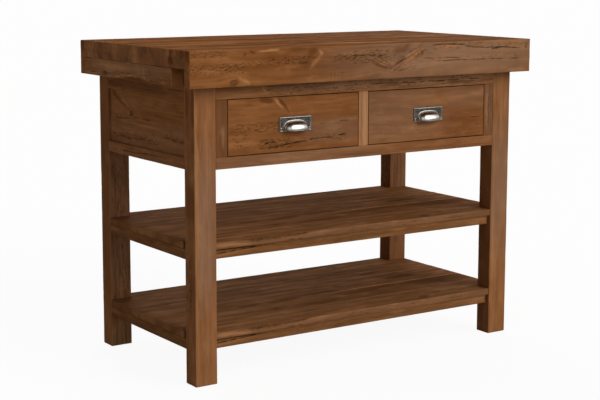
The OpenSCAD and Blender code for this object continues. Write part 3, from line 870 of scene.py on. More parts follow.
    def material(self) -> bpy.types.Material:
        """Makes the finish.

        Returns:
            Its material.
        """
        graph, material, shader = Graph.of_material(self.name)
        place = self.place(graph)
        stored = [graph.node("ShaderNodeAttribute", attribute_name=name) for name in ("marks", "age")]
        marks, age = (graph.node("ShaderNodeSeparateXYZ", {0: one.outputs["Vector"]}) for one in stored)
        rings = self.rings(graph, place)
        flecks = graph.noise(place, (105.0, 290.0, 290.0), 3.0, 0.7, 0.6)
        colour = self.colour(graph, self.grown(graph, place, rings), flecks, marks, age)
        graph.tree.links.new(colour, shader.inputs["Base Color"])
        patch = graph.noise(place, (6.0, 40.0, 40.0), 3.0)
        gloss = graph.between(patch, 0.3, 0.7, *(self.sheen + swing for swing in self.sheen_swing))
        gloss = graph.math("ADD", gloss, graph.math("MULTIPLY", marks.outputs[1], 0.3), clamp=True)
        graph.tree.links.new(gloss, shader.inputs["Roughness"])
        fibre = graph.noise(place, (16.0, 1100.0, 1100.0), 3.0, 0.7)
        height = graph.math("ADD", graph.math("MULTIPLY", rings, 0.5), graph.math("MULTIPLY", fibre, 0.7))
        height = graph.math("SUBTRACT", height, graph.math("MULTIPLY", marks.outputs[1], 0.8))
        rough = graph.math("MULTIPLY", graph.math("MULTIPLY", flecks, age.outputs[0]), 2.6)
        height = graph.math("SUBTRACT", height, rough)
        bump = graph.node("ShaderNodeBump", {
            "Strength": self.bump, "Distance": self.relief, "Height": height})
        graph.tree.links.new(bump.outputs[0], shader.inputs["Normal"])
        shader.inputs["Specular IOR Level"].default_value = self.specular
        return material


@dataclass(frozen=True)
class PolishedMetal:
    """Polished metal, dulled and darker where polish doesn't reach."""

    name: str
    bright: tuple[int, int, int] = (222, 217, 208)
    dull: tuple[int, int, int] = (66, 61, 58)
    roughness: Spot = (0.17, 0.34)
    bump: float = 0.12
    relief: float = 0.05 * MM
    slot: str = ""

    def material(self) -> bpy.types.Material:
        """Makes the finish.

        Returns:
            Its material.
        """
        graph, material, shader = Graph.of_material(self.name)
        here = graph.node("ShaderNodeTexCoord").outputs["Object"]
        age = graph.node("ShaderNodeAttribute", attribute_name="age").outputs["Fac"]
        cloud = graph.noise(here, (260.0, 260.0, 260.0), 3.0)
        age = graph.math("ADD", age, graph.between(cloud, 0.4, 0.72, -0.12, 0.26), clamp=True)
        colour = graph.mix(age, tone(*self.bright), tone(*self.dull))
        graph.tree.links.new(colour, shader.inputs["Base Color"])
        graph.tree.links.new(graph.between(age, 0.0, 1.0, *self.roughness), shader.inputs["Roughness"])
        scratch = graph.noise(here, (90.0, 2400.0, 2400.0), 2.0)
        bump = graph.node("ShaderNodeBump", {
            "Strength": self.bump, "Distance": self.relief, "Height": scratch})
        graph.tree.links.new(bump.outputs[0], shader.inputs["Normal"])
        shader.inputs["Metallic"].default_value = 1.0
        return material


@dataclass(frozen=True)
class Finishes:
    """Every finish of the island, made once."""

    worktop: WaxedPine = WaxedPine(
        "worktop_wood", early=(141, 90, 50), late=(102, 60, 28), deep=(56, 31, 15), pale=(176, 122, 76),
        ring=9.0 * MM, contrast=0.4, blotch=0.6)
    planks: WaxedPine = WaxedPine(
        "worktop_plank_wood", early=(137, 83, 40), late=(97, 55, 22), deep=(56, 31, 15),
        pale=(186, 124, 68), ring=8.0 * MM, contrast=0.5, blotch=0.75, slot="worktop_wood")
    base: WaxedPine = WaxedPine(
        "frame_wood", early=(146, 97, 60), late=(110, 68, 38), deep=(64, 38, 21), pale=(180, 132, 92),
        ring=5.0 * MM, contrast=0.35, blotch=0.45)
    panel: WaxedPine = WaxedPine(
        "panel_wood", early=(136, 87, 49), late=(100, 59, 29), deep=(56, 32, 17), pale=(164, 112, 68),
        ring=9.0 * MM, contrast=0.4, blotch=0.5)
    drawer: WaxedPine = WaxedPine(
        "drawer_front_wood", early=(138, 88, 50), late=(102, 61, 31), deep=(58, 33, 17),
        pale=(176, 122, 76), ring=11.0 * MM, contrast=0.3, blotch=0.5)
    shelf: WaxedPine = WaxedPine(
        "shelf_wood", early=(128, 84, 50), late=(95, 60, 32), deep=(56, 33, 18), pale=(176, 124, 80),
        ring=9.0 * MM, contrast=0.4, blotch=0.6)
    inner_x: WaxedPine = WaxedPine(
        "inner_wood", early=(196, 156, 108), late=(164, 118, 74), deep=(112, 74, 44),
        pale=(214, 178, 132), contrast=0.5, blotch=0.35, sheen=0.65, coordinates=Coordinates.ALONG_X)
    inner_y: WaxedPine = replace(inner_x, name="inner_wood_sides", coordinates=Coordinates.ALONG_Y)
    nickel: PolishedMetal = PolishedMetal("pull_metal")
    steel: PolishedMetal = PolishedMetal("screw_steel", (168, 168, 170), (90, 90, 92))


class Paints:
    """The materials of the finishes, each made when it is first asked for."""

    def __init__(self) -> None:
        """Starts with no material made."""
        self.made: dict[str, bpy.types.Material] = {}

    def of(self, finish: WaxedPine | PolishedMetal) -> bpy.types.Material:
        """Finds a finish's material.

        Args:
            finish: the finish.

        Returns:
            The material, the same one each time.
        """
        if finish.name not in self.made:
            self.made[finish.name] = finish.material()
        return self.made[finish.name]


FINISHES = Finishes()
PAINTS = Paints()


def settle(name: str, mesh: bpy.types.Mesh, finish: WaxedPine | PolishedMetal, body: str) -> None:
    """Puts a mesh in a node's place.

    Args:
        name: the node's name.
        mesh: the mesh, in world coordinates.
        finish: its finish, whose name the material takes.
        body: the body that it rides on.
    """
    mesh.materials.append(PAINTS.of(finish))
    piece = bpy.data.objects.new("visual_" + name, mesh)
    bpy.context.scene.collection.objects.link(piece)
    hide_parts(name)
    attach(piece, body)
    LOG.info("%s rides on %s with %d points", piece.name, body, len(mesh.vertices))


def timber(name: str, boards: list[Board], finish: WaxedPine, body: str = "frame") -> None:
    """Builds the boards of one node and puts them in its place.

    Args:
        name: the node's name.
        boards: the boards, which may be one.
        finish: their finish.
        body: the body that they ride on.
    """
    made = [board.build() for board in boards]
    starts = np.cumsum([0, *[len(one["points"]) for one in made]])
    quads = np.concatenate([one["quads"] + start for one, start in zip(made, starts)])
    mesh = mesh_from(name, np.concatenate([one["points"] for one in made]), quads, crease=55.0)
    for key in ("grain", "marks", "age"):
        add_field(mesh, key, np.concatenate([one[key] for one in made]))
    settle(name, mesh, finish, body)


def box(name: str) -> tuple[np.ndarray, np.ndarray]:
    """Returns the lowest and the highest corner of a node."""
    low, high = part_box(name)
    return np.array(low), np.array(high)


def clipped(name: str, axis: int, low: float, high: float) -> tuple[np.ndarray, np.ndarray]:
    """Finds a node's box without its tenons.

    Args:
        name: the node's name.
        axis: the axis that the tenons lie along.
        low: where the low shoulder is.
        high: where the high shoulder is.

    Returns:
        The box's lowest and highest corner.
    """
    a, b = box(name)
    a[axis], b[axis] = max(a[axis], low), min(b[axis], high)
    return a, b


def plank_rows(prefix: str) -> tuple[float, dict[str, list[tuple[int, float, np.ndarray, np.ndarray]]]]:
    """Places equal planks side by side: the front one, the group of middle ones and the back one.

    Args:
        prefix: what the names of the three nodes start with.

    Returns:
        The planks' width, and for each node its planks: the row, how far it starts behind the
        front plank's front edge, and its lowest and highest corner.
    """
    first_low, first_high = box(f"{prefix}_front_plank")
    low, high = box(f"{prefix}_middle_planks")
    seam, width = low[1] - first_high[1], (first_high - first_low)[1]
    count = round(((high - low)[1] + seam) / (width + seam))
    rows = {"front_plank": [0], "middle_planks": range(1, count + 1), "back_plank": [count + 1]}
    found = {}
    for part, row in rows.items():
        planks = found[f"{prefix}_{part}"] = []
        for k in row:
            a, b = first_low.copy(), first_high.copy()
            a[1] += k * (width + seam)
            b[1] = a[1] + width
            planks.append((k, k * (width + seam), a, b))
    return width, found


@dataclass
class Legs:
    """The four square legs, upright grain."""

    tints: dict[str, float] = field(default_factory=lambda: {
        "leg_front_left": 0.16, "leg_back_left": -0.1, "leg_front_right": 0.0, "leg_back_right": -0.5})
    arris: float = 2.2 * MM
    pith: Spot = (0.16, 0.03)
    fine: Corner = (6.0 * MM, 1.7 * MM, 4.0 * MM)
    coarse: Corner = (9.0 * MM, 3.4 * MM, 5.0 * MM)

    def marks(self, name: str) -> dict[Face, list[Mark]]:
        """Places the marks of one leg.

        Args:
            name: the leg's node.

        Returns:
            The marks of each face, from the leg's foot.
        """
        low, high = box(name)
        width, depth, height = high - low
        seed = sum(map(ord, name))
        rng = np.random.default_rng(seed)
        worn = Weather((0.03, 0.0), (height * 0.9, width), 0.25, (0.16, 0.0045), 0.12, seed)
        front: list[Mark] = [worn]
        # The dark band over the whole left face is painted shade, darkening the side that faces away from
        # the lamps.
        side: list[Mark] = [
            Weather((0.03, 0.0), (height, depth), 0.25, (0.16, 0.0045), 0.14, seed + 3),
            Streak((-0.2, 0.5 * depth), (height + 0.2, 0.5 * depth), depth / MM, -0.6),
        ]
        if name == "leg_back_left":
            # On this front the fading and the pale bands are partly painted light: they lift the shade
            # that lies under the worktop and the shelves, most at the foot and between the shelves.
            front = [
                FadeAndPaintedLight((0.16, 0.0), (0.7, width), 0.4),
                Streak((0.1, 0.5 * width), (1.0, 0.5 * width), width / MM, 0.15),
                Streak((-0.3, 0.5 * width), (0.16, 0.5 * width), width / MM, 2.0),
                Streak((0.1, 0.5 * width), (0.4, 0.5 * width), width / MM, 0.4),
                Weather((0.0, 0.004), (height, width - 0.004), 0.9, (0.11, 0.0042), 0.5, 21, 0.6),
                Pits((0.05, 0.01), (0.8, width - 0.01), 110, 22, 1.3, 0.9, 0.75, 22, 0.6),
            ]
        if name == "leg_front_left":
            side += [
                Streak((0.7, 0.007), (0.86, 0.008), 5, -2.4),
                Streak((0.73, 0.04), (0.84, 0.041), 6, -1.6),
                # Painted light: the next pale band lifts the shade at the top of the left face, under the
                # worktop, that shows through the gap at the worktop's end.
                Streak((0.79, 0.028), (1.0, 0.028), 40, 1.2),
                Streak((0.44, 0.028), (0.58, 0.028), 40, -0.6),
                Weather((0.2, 0.02), (0.36, depth), 0.6, (0.05, 0.004), 0.35, 23, 0.8),
                Pits((0.2, 0.02), (0.4, 0.05), 22, 10, 1.0, 0.8, 0.8, 24, 0.7),
            ]
            front += [
                FadeAndPaintedLight((0.25, 0.01), (0.62, 0.06), 0.5, (0.1, 0.012)),
                Streak((-0.1, 0.006), (1.0, 0.008), 8, 0.3),
                Crack((0.287, 0.004), (0.29, width - 0.004), 0.9, 0.4, 1, 0.2, 27),
                Streak((0.62, 0.02), (0.84, 0.016), 8, -0.5),
                Streak((0.62, 0.052), (0.84, 0.056), 6, -0.4),
            ]
        if name == "leg_front_right":
            front += [
                Streak((0.05, 0.012), (0.8, 0.01), 5, 0.4), Streak((0.6, 0.03), (0.95, 0.03), 45, 0.3),
                FadeAndPaintedLight((0.3, 0.0), (0.62, width), 0.5),
                Streak((0.724, -0.02), (0.725, width + 0.02), 1.3, -1.3),
                Streak((0.27, -0.02), (0.272, width + 0.02), 1.3, -1.0),
            ]
        if name == "leg_back_right":
            front += [
                FadeAndPaintedLight((0.2, 0.0), (0.7, width), 0.45),
                Weather((0.2, 0.012), (0.8, width), 0.7, (0.11, 0.0042), 0.4, 29, 0.5),
            ]
            side += [Pits((0.3, 0.005), (0.8, 0.05), 26, 12, 1.0, 0.9, 0.8, 26, 0.8)]
        nicks: list[Mark] = [
            Crack((at, 0.004), (at + 0.003, width - 0.004), 0.7, 0.3, 1.0, 0.65, int(at * 1000))
            for at in ([] if "front" in name else rng.uniform(0.08, 0.8, 3))
        ]
        return {Face.FRONT: front + nicks, Face.BACK: [worn], Face.LOW_EDGE: side,
                Face.HIGH_EDGE: side[:1]}

    def build(self) -> None:
        """Builds and dresses the legs."""
        for name, tint in self.tints.items():
            step = self.fine if "front" in name else self.coarse
            leg = Board(*box(name), Lie.POST, sum(map(ord, name)), step, self.arris, tint=tint,
                        pith=self.pith, marks=self.marks(name))
            timber(name, [leg], FINISHES.base)


@dataclass
class ApronFrame:
    """Rails, stiles and panels round the drawers."""

    arris: float = 1.4 * MM
    fine: Corner = (6.0 * MM, 1.6 * MM, 5.0 * MM)
    middling: Corner = (6.0 * MM, 2.4 * MM, 5.0 * MM)
    coarse: Corner = (10.0 * MM, 4.0 * MM, 6.0 * MM)

    def front(self) -> None:
        """Builds the front's rails and stiles."""
        inner = box("leg_front_left")[1][0]
        low, high = clipped("front_top_rail", 0, inner, -inner)
        length, _, height = high - low
        worn: list[Mark] = [
            Weather((0.0, 0.0), (0.2, height), 0.3, (0.13, 0.0042), 0.15, 31),
            Weather((0.17, 0.0), (length, height), 0.8, (0.12, 0.005), 0.5, 32, 0.6),
            # Painted light: the broad pale band high on the rail, and part of its raised tint, lift the
            # shadow that the front board casts on it.
            Streak((0.13, 0.02), (0.42, 0.024), 16, -0.2), Streak((0.2, 0.03), (1.2, 0.03), 30, 0.4),
            FadeAndPaintedLight((0.2, 0.012), (0.96, 0.045), 0.38, (0.05, 0.01)),
            Streak((0.14, 0.034), (0.17, 0.006), 3, 0.7),
            Crack((0.5, 0.02), (0.96, 0.018), 1.6, 1.0, 4, 0.35, 34),
            Pits((0.17, 0.005), (0.95, 0.035), 90, 12, 1.3, 0.8, 0.8, 35, 0.8),
        ]
        rail = Board(low, high, Lie.RAIL_X, 301, self.fine, self.arris, tint=0.1, pith=(0.02, 0.12),
                     marks={Face.FRONT: worn})
        timber("front_top_rail", [rail], FINISHES.base)
        low, high = clipped("front_bottom_rail", 0, inner, -inner)
        length = (high - low)[0]
        worn = [
            Weather((0.0, 0.0), (length, 0.012), 0.4, (0.12, 0.004), 0.3, 36),
            FadeAndPaintedLight((-0.1, 0.0), (0.5, 0.04), 0.3), Streak((0.05, 0.014), (0.4, 0.016), 5, 0.2),
            Streak((0.55, 0.008), (0.9, 0.012), 5, -0.3),
            Pits((0.8, 0.005), (0.96, 0.028), 14, 10, 0.9, 0.6, 0.6, 37),
        ]
        rail = Board(low, high, Lie.RAIL_X, 302, self.fine, self.arris, tint=-0.28, pith=(0.05, 0.11),
                     marks={Face.FRONT: worn})
        timber("front_bottom_rail", [rail], FINISHES.base)
        self.stiles()

    def stiles(self) -> None:
        """Builds the three stiles between the front rails."""
        bottom, top = box("front_bottom_rail")[1][2], box("front_top_rail")[0][2]
        tints = {"front_stile_left": -0.75, "front_centre_stile": 0.66, "front_stile_right": -0.6}
        for seed, (name, tint) in enumerate(tints.items(), 311):
            low, high = clipped(name, 2, bottom, top)
            width, _, height = high - low
            worn: list[Mark] = [Weather((0.0, 0.0), (height, width), 0.3, (0.09, 0.004), 0.16, seed)]
            if name == "front_stile_right":
                worn += [
                    FadeAndPaintedLight((0.0, 0.01), (height, width), 0.75, (0.05, 0.006)),
                    Streak((0.0, 0.01), (height, 0.012), 5, 0.45),
                    Weather((0.0, 0.014), (height, width), 0.8, (0.05, 0.004), 0.5, seed + 9),
                    Pits((0.02, 0.012), (0.14, 0.03), 16, 7, 1.2, 0.8, 0.7, seed + 4),
                ]
            if name == "front_stile_left":
                worn += [
                    FadeAndPaintedLight((0.0, 0.0), (height, width), 0.4, (0.05, 0.006)),
                    Streak((0.01, 0.022), (0.1, 0.024), 6, 0.7),
                    Streak((0.008, 0.017), (0.072, 0.014), 3, -1.3),
                ]
            if name == "front_centre_stile":
                worn += [
                    FadeAndPaintedLight((0.0, 0.0), (height, width), 0.55),
                    Streak((-0.05, 0.009), (height + 0.05, 0.01), 4, -0.45),
                    Streak((-0.05, 0.021), (height + 0.05, 0.022), 4, 0.35),
                ]
            stile = Board(low, high, Lie.POST, seed, self.fine, self.arris, 0.8, tint, (0.08, 0.05),
                          marks={Face.FRONT: worn})
            timber(name, [stile], FINISHES.base)

    def ends(self) -> None:
        """Builds the rails and panels of both ends."""
        inner = box("leg_front_left")[1][1]
        for side, outer, step in (("left", Face.FRONT, self.fine), ("right", Face.BACK, self.coarse)):
            for seed, part in ((321, "top_rail"), (325, "bottom_rail")):
                name = f"{side}_{part}"
                low, high = clipped(name, 1, inner, -inner)
                _, length, height = high - low
                worn: list[Mark] = [Weather((0.0, 0.0), (length, height), 0.5, (0.1, 0.0042), 0.35, seed)]
                if part == "top_rail":
                    worn.append(Streak((0.02, 0.012), (0.6, 0.016), 14, -0.9))
                else:
                    worn += [
                        Crack((0.12, 0.02), (0.4, 0.012), 1.5, 1.0, 3, 0.3, seed),
                        Pits((0.1, 0.005), (0.42, 0.028), 20, 12, 1.1, 0.7, 0.7, seed + 1),
                    ]
                rail = Board(low, high, Lie.RAIL_Y, seed + len(side), step, self.arris, tint=-0.35,
                             pith=(0.03, 0.1), marks={outer: worn})
                timber(name, [rail], FINISHES.base)
            name = f"{side}_panel"
            panel = Board(*box(name), Lie.RAIL_Y, 331 + len(side), step, self.arris, pith=(0.05, 0.07),
                          marks={outer: self.panel_marks()})
            timber(name, [panel], FINISHES.panel)

    def panel_marks(self) -> list[Mark]:
        """Places the marks of an end panel.

        Returns:
            Knots, cracks, pits and worn lines, from the panel's front edge.
        """
        return [
            FadeAndPaintedLight((-0.2, -0.2), (0.7, 0.088), 0.16, (0.1, 0.02)),
            Spike((0.335, 0.096), 130, 15, 29.0, 0.9, 0.55), Knot((0.333, 0.098), 6, 1.5, 30.0, 0.9),
            Streak((0.345, 0.112), (0.405, 0.15), 3, 0.6), Knot((0.438, 0.15), 7, 1.6, 25.0, 0.7),
            Crack((0.36, 0.081), (0.455, 0.08), 1.4, 0.9, 4, 0.4, 344),
            Crack((0.16, 0.092), (0.37, 0.084), 1.0, 0.7, 4, 0.5, 341),
            Streak((0.18, 0.034), (0.48, 0.03), 9, -0.4), Streak((0.0, 0.05), (0.15, 0.048), 11, -0.3),
            Streak((0.1, 0.066), (0.46, 0.074), 4, 0.5), Streak((0.02, 0.036), (0.25, 0.04), 4, 0.4),
            Crack((0.335, 0.022), (0.458, 0.034), 1.3, 1.0, 4, 0.3, 342),
            Crack((0.15, 0.04), (0.345, 0.024), 1.1, 0.8, 4, 0.4, 343),
            Crack((0.02, 0.046), (0.14, 0.05), 1.1, 0.8, 4, 0.4, 347),
            Pits((0.01, 0.036), (0.14, 0.062), 26, 7, 1.2, 0.6, 0.6, 346, 0.6),
            Pits((0.14, 0.016), (0.46, 0.05), 60, 8, 1.0, 0.8, 0.7, 348, 0.7),
            Pits((0.3, 0.07), (0.46, 0.092), 24, 8, 0.9, 0.7, 0.6, 349, 0.7),
        ]

    def back(self) -> None:
        """Builds the rails and the panel of the back."""
        inner = box("leg_back_left")[1][0]
        for seed, name in enumerate(("back_top_rail", "back_bottom_rail"), 351):
            low, high = clipped(name, 0, inner, -inner)
            length, _, height = high - low
            worn: list[Mark] = [
                Weather((0.0, 0.0), (length, height), 0.5, (0.12, 0.0042), 0.3, seed),
                Crack((0.2, 0.3 * height), (0.7, 0.5 * height), 1.4, 0.9, 4, 0.4, seed),
            ]
            rail = Board(low, high, Lie.RAIL_X, seed, self.coarse, self.arris, pith=(0.03, -0.1),
                         marks={Face.BACK: worn})
            timber(name, [rail], FINISHES.base)
        worn = [
            Knot((0.28, 0.11), 11, 1.3, 10.0), Knot((0.83, 0.06), 8, 1.6, -15.0),
            Crack((0.1, 0.05), (0.5, 0.07), 1.4, 0.9, 5, 0.4, 353),
            Crack((0.55, 0.12), (0.92, 0.1), 1.4, 0.9, 5, 0.4, 354),
            Weather((0.05, 0.03), (0.95, 0.14), 0.5, (0.11, 0.0045), 0.3, 355),
        ]
        panel = Board(*box("back_panel"), Lie.RAIL_X, 356, self.middling, self.arris, pith=(0.02, -0.08),
                      marks={Face.BACK: worn})
        timber("back_panel", [panel], FINISHES.panel)

    def build(self) -> None:
        """Builds and dresses the frame round the drawers."""
        self.front()
        self.ends()
        self.back()


@dataclass
class Worktop:
    """Thick planks with a board along the front and back edges and a batten under each end."""

    arris: float = 2.4 * MM
    plank_arris: float = 1.6 * MM
    batten_arris: float = 2.2 * MM
    rough: float = 1.2
    fine: Corner = (3.2 * MM, 1.5 * MM, 5.0 * MM)
    middling: Corner = (6.0 * MM, 2.4 * MM, 5.0 * MM)
    plank: Corner = (7.0 * MM, 3.0 * MM, 4.0 * MM)
    sawn: Corner = (3.2 * MM, 4.0 * MM, 1.7 * MM)
    piths: tuple[Spot, ...] = (
        (0.05, 0.17), (-0.03, 0.15), (0.06, 0.18), (0.0, 0.16), (-0.05, 0.19))
    tints: tuple[float, ...] = (0.05, -0.1, 0.08, -0.02, 0.06)

    def front_marks(self) -> list[Mark]:
        """Places the marks of the front edge board.

        Returns:
            The marks, from the board's left end and its lower edge.
        """
        return [
            # Painted sheen: the fading and the broad pale band toward the right end stand in for a soft
            # sheen of light from the front right.
            FadeAndPaintedLight((0.56, 0.0), (1.25, 0.12), 0.8, (0.3, 0.05)),
            Streak((0.45, 0.05), (1.5, 0.05), 70, 0.3), Knot((0.136, 0.011), 8, 1.5, 12.0, 0.7),
            Streak((0.146, 0.03), (0.176, 0.002), 3.4, 1.1),
            Streak((0.164, 0.024), (0.19, 0.001), 3.4, 0.9),
            Streak((0.15, 0.026), (0.174, 0.004), 2.2, -0.9),
            Streak((0.365, 0.086), (0.42, 0.094), 9, -0.6), Streak((0.372, 0.026), (0.434, 0.1), 8, 0.5),
            Streak((0.35, 0.03), (0.408, 0.098), 10, -0.6), Streak((0.402, 0.098), (0.43, 0.074), 4, 0.7),
            Spike((0.664, 0.026), 140, 24, 29.0, 0.9, 0.8),
            Spike((0.668, 0.028), 75, 14, 150.0, 0.8, 0.8), Spike((0.69, 0.022), 70, 11, 10.0, 0.8, 0.4),
            Knot((0.772, 0.07), 6, 1.8, 35.0, 0.5), Streak((0.66, 0.024), (0.722, 0.064), 4, -1.4),
            Streak((0.58, 0.052), (0.672, 0.026), 5, -1.0), Streak((0.645, 0.076), (0.76, 0.1), 13, -0.8),
            Streak((0.18, 0.093), (0.208, 0.089), 4, -1.0),
            Streak((0.163, 0.078), (0.174, 0.094), 4, -0.9),
            *[Streak((at, 0.05), (at + 0.002, 0.082), 2.2, -0.9) for at in (0.299, 0.311, 0.324)],
            *[Streak((at, -0.004), (at + 0.001, 0.038), 2.2, -0.7) for at in (0.452, 0.464, 0.49)],
            Pits((0.002, 0.08), (0.112, 0.099), 80, 4, 1.7, 0.8, 0.68, 401, 1.0),
            Pits((0.002, 0.034), (0.165, 0.062), 170, 3.6, 1.7, 0.8, 0.7, 403, 1.0),
            Pits((0.16, 0.05), (0.25, 0.066), 34, 4, 1.5, 0.7, 0.7, 419, 0.8),
            Pits((0.23, 0.052), (0.395, 0.074), 70, 5, 1.4, 0.8, 0.7, 413, 0.8),
            Pits((0.46, 0.054), (0.56, 0.076), 70, 6, 1.5, 0.9, 0.65, 402, 1.0),
            Pits((0.53, 0.048), (0.655, 0.084), 150, 5, 1.5, 0.9, 0.75, 420, 1.0),
            Pits((0.64, 0.02), (0.8, 0.09), 40, 5, 1.2, 0.6, 0.6, 414, 0.6),
            Crack((0.5, 0.07), (0.64, 0.068), 1.4, 1.2, 5, 0.35, 415),
            Crack((0.815, 0.0925), (0.95, 0.09), 2.0, 1.4, 3, 0.12, 404),
            Streak((0.82, 0.088), (0.94, 0.086), 2.5, 0.7),
            Crack((0.93, 0.086), (1.175, 0.072), 1.5, 1.1, 5, 0.35, 405),
            Crack((1.04, 0.076), (1.095, 0.078), 2.4, 1.4, 2, 0.1, 416),
            Crack((0.78, 0.056), (0.93, 0.052), 1.0, 0.8, 3, 0.45, 406),
            Crack((0.82, 0.046), (1.18, 0.043), 1.1, 0.8, 3, 0.3, 407),
            Pits((0.8, 0.042), (1.16, 0.06), 44, 8, 1.1, 0.5, 0.55, 417, 0.5),
            Pits((0.82, 0.078), (1.18, 0.096), 60, 8, 1.3, 0.7, 0.7, 418, 0.7),
            Streak((0.2, 0.0915), (0.286, 0.0955), 3.0, 1.0),
            Streak((0.24, 0.0945), (0.288, 0.0955), 2.2, 1.2),
            Streak((0.02, 0.012), (0.13, 0.01), 9, 0.25), Streak((0.18, 0.026), (0.37, 0.03), 14, 0.22),
            Streak((1.1, 0.008), (1.19, 0.008), 6, 0.35), Knot((1.184, 0.08), 5, 1.6, 80.0, 0.5),
            Weather((0.0, 0.084), (1.2, 0.1), 0.4, (0.08, 0.004), 0.2, 412),
        ]

    def back_marks(self) -> list[Mark]:
        """Places the marks of the back edge board.

        Returns:
            The marks, from the board's left end and its lower edge.
        """
        return [
            Knot((0.31, 0.06), 9, 1.3, 12.0), Knot((0.94, 0.032), 7, 1.6, -20.0),
            Spike((0.62, 0.022), 90, 22, 24.0, 0.8),
            Pits((0.12, 0.045), (0.5, 0.075), 80, 8, 0.9, 0.8, 0.7, 421),
            Crack((0.55, 0.085), (0.9, 0.078), 1.4, 1.1, 5, 0.3, 422),
            Crack((0.1, 0.018), (0.6, 0.022), 1.1, 0.8, 4, 0.4, 423),
            Weather((0.0, 0.03), (1.2, 0.1), 0.5, (0.08, 0.004), 0.28, 424),
        ]

    def edge_boards(self) -> None:
        """Builds the boards along the front and back edges."""
        end: list[Mark] = [
            Weather((0.0, 0.0), (0.1, 0.03), 0.5, (0.02, 0.003), 0.3, 413),
            Streak((0.055, 0.015), (0.16, 0.015), 40, -0.6),
        ]
        ends = {Face.START: end, Face.FINISH: end}
        board = Board(*box("front_fascia"), Lie.RAIL_X, 430, self.fine, self.arris, self.rough,
                      pith=(0.012, 0.05), marks={Face.FRONT: self.front_marks(), **ends})
        timber("front_fascia", [board], FINISHES.worktop)
        board = Board(*box("back_fascia"), Lie.RAIL_X, 431, self.middling, self.arris, self.rough,
                      pith=(-0.01, -0.06), marks={Face.BACK: self.back_marks(), **ends})
        timber("back_fascia", [board], FINISHES.worktop)

    def plank_marks(self, length: float, width: float, seed: int) -> list[Mark]:
        """Returns the marks on the upper face of one plank.

        Args:
            length: the plank's length.
            width: the plank's width.
            seed: what sets this plank apart.

        Returns:
            Knots, cracks, pits and worn bands at places of this plank's own, and a painted sheen over its
            right part.
        """
        rng = np.random.default_rng(seed)
        found: list[Mark] = [
            # Painted sheen: the fading over the right part of the plank stands in for a soft sheen from
            # the front right.
            FadeAndPaintedLight((0.6 * length, -0.1), (1.1 * length, width + 0.1), 0.28, (0.4, 0.05)),
            Weather((0.0, 0.0), (length, width), 0.4, (0.16, 0.0055), 0.3, seed),
        ]
        for share in rng.random((2, 3)):
            at = (length * (0.08 + 0.84 * share[0]), width * (0.2 + 0.6 * share[1]))
            found.append(Knot(at, 5 + 6 * share[2], 1.0 + share[0], 30 * share[1] - 15, 0.8))
        for n, share in enumerate(rng.random((3, 3))):
            x, y = length * 0.8 * share[0], width * (0.1 + 0.8 * share[1])
            found.append(Crack((x, y), (x + 0.12 + 0.2 * share[2], y + 4 * MM), 1.2, 0.9, 5,
                               0.4, seed + n))
        for share in rng.random((9, 3)):
            x, y = length * (share[0] - 0.2), width * share[1]
            found.append(Streak((x, y), (x + 0.5, y + 8 * MM), 7, 2.6 * (share[2] - 0.55)))
        x = length * 0.6 * rng.random()
        found.append(Pits((x, 0.2 * width), (x + 0.3, 0.6 * width), 40, 9, 0.9, 0.7, 0.6, seed))
        return found

    def planks(self) -> None:
        """Builds the planks."""
        width, rows = plank_rows("top")
        for name, planks in rows.items():
            boards = []
            for k, _, low, high in planks:
                seed = 440 + 11 * k
                end: list[Mark] = [
                    Weather((0.0, 0.0), (width, 0.05), 0.3, (0.05, 0.007), 0.12, seed + 5, 0.3),
                    FadeAndPaintedLight((-0.1, -0.1), (0.3, 0.2), 0.22),
                ]
                if k == 0:
                    end += [
                        Knot((0.018, 0.042), 8, 1.4, 60.0, 0.5),
                        Streak((0.07, 0.0), (0.08, 0.06), 12, -1.2),
                        Streak((0.05, 0.03), (0.11, 0.034), 8, 0.6),
                    ]
                top = self.plank_marks((high - low)[0], width, seed)
                boards.append(Board(
                    low, high, Lie.PLANK_X, seed, self.plank, self.plank_arris, self.rough, self.tints[k],
                    self.piths[k], marks={Face.BACK: top, Face.START: end, Face.FINISH: end}))
            timber(name, boards, FINISHES.planks)

    def battens(self) -> None:
        """Builds the battens under the ends, rough-sawn along their lower edge."""
        for side, outer in (("left", Face.LOW_EDGE), ("right", Face.HIGH_EDGE)):
            name = f"{side}_end_batten"
            low, high = box(name)
            length = (high - low)[1]
            worn: list[Mark] = [
                FadeAndPaintedLight((0.05, 0.0), (0.5, 0.06), 0.35),
                Weather((0.0, 0.0), (length, 0.022), 1.3, (0.05, 0.005), 0.28, 481, 0.8),
                Pits((0.06, 0.002), (0.5, 0.022), 60, 9, 1.4, 0.8, 0.55, 482, 0.8),
                Crack((0.2, 0.01), (0.34, 0.006), 1.3, 1.0, 5, 0.4, 483),
                Crack((0.34, 0.014), (0.5, 0.01), 1.1, 0.8, 5, 0.5, 484),
                # Painted shade: the dark line along the lower edge, first on the next line, stands in for
                # the shadow line under the batten.
                Streak((0.1, 0.003), (0.34, 0.003), 4, -1.6), Streak((0.2, 0.03), (0.52, 0.036), 9, 0.5),
                Streak((0.2, 0.014), (0.36, 0.004), 4, 1.0), Streak((0.115, 0.0), (0.125, 0.05), 5, -0.6),
                Streak((0.155, -0.004), (0.16, 0.05), 5, 0.5), Knot((0.4, 0.012), 6, 1.8, 10.0, 0.8),
            ]
            # Painted light: the pale band lifts the shaded front end of the batten, seen in the gap
            # behind the front board.
            end: list[Mark] = [Streak((-0.1, 0.0), (0.14, 0.0), 40, 0.6)]
            batten = Board(low, high, Lie.FLAT_Y, 485, self.sawn, self.batten_arris, 1.6, 0.1,
                           (0.05, 0.02), marks={outer: worn, Face.START: end})
            timber(name, [batten], FINISHES.worktop)

    def build(self) -> None:
        """Builds and dresses the worktop."""
        self.planks()
        self.edge_boards()
        self.battens()


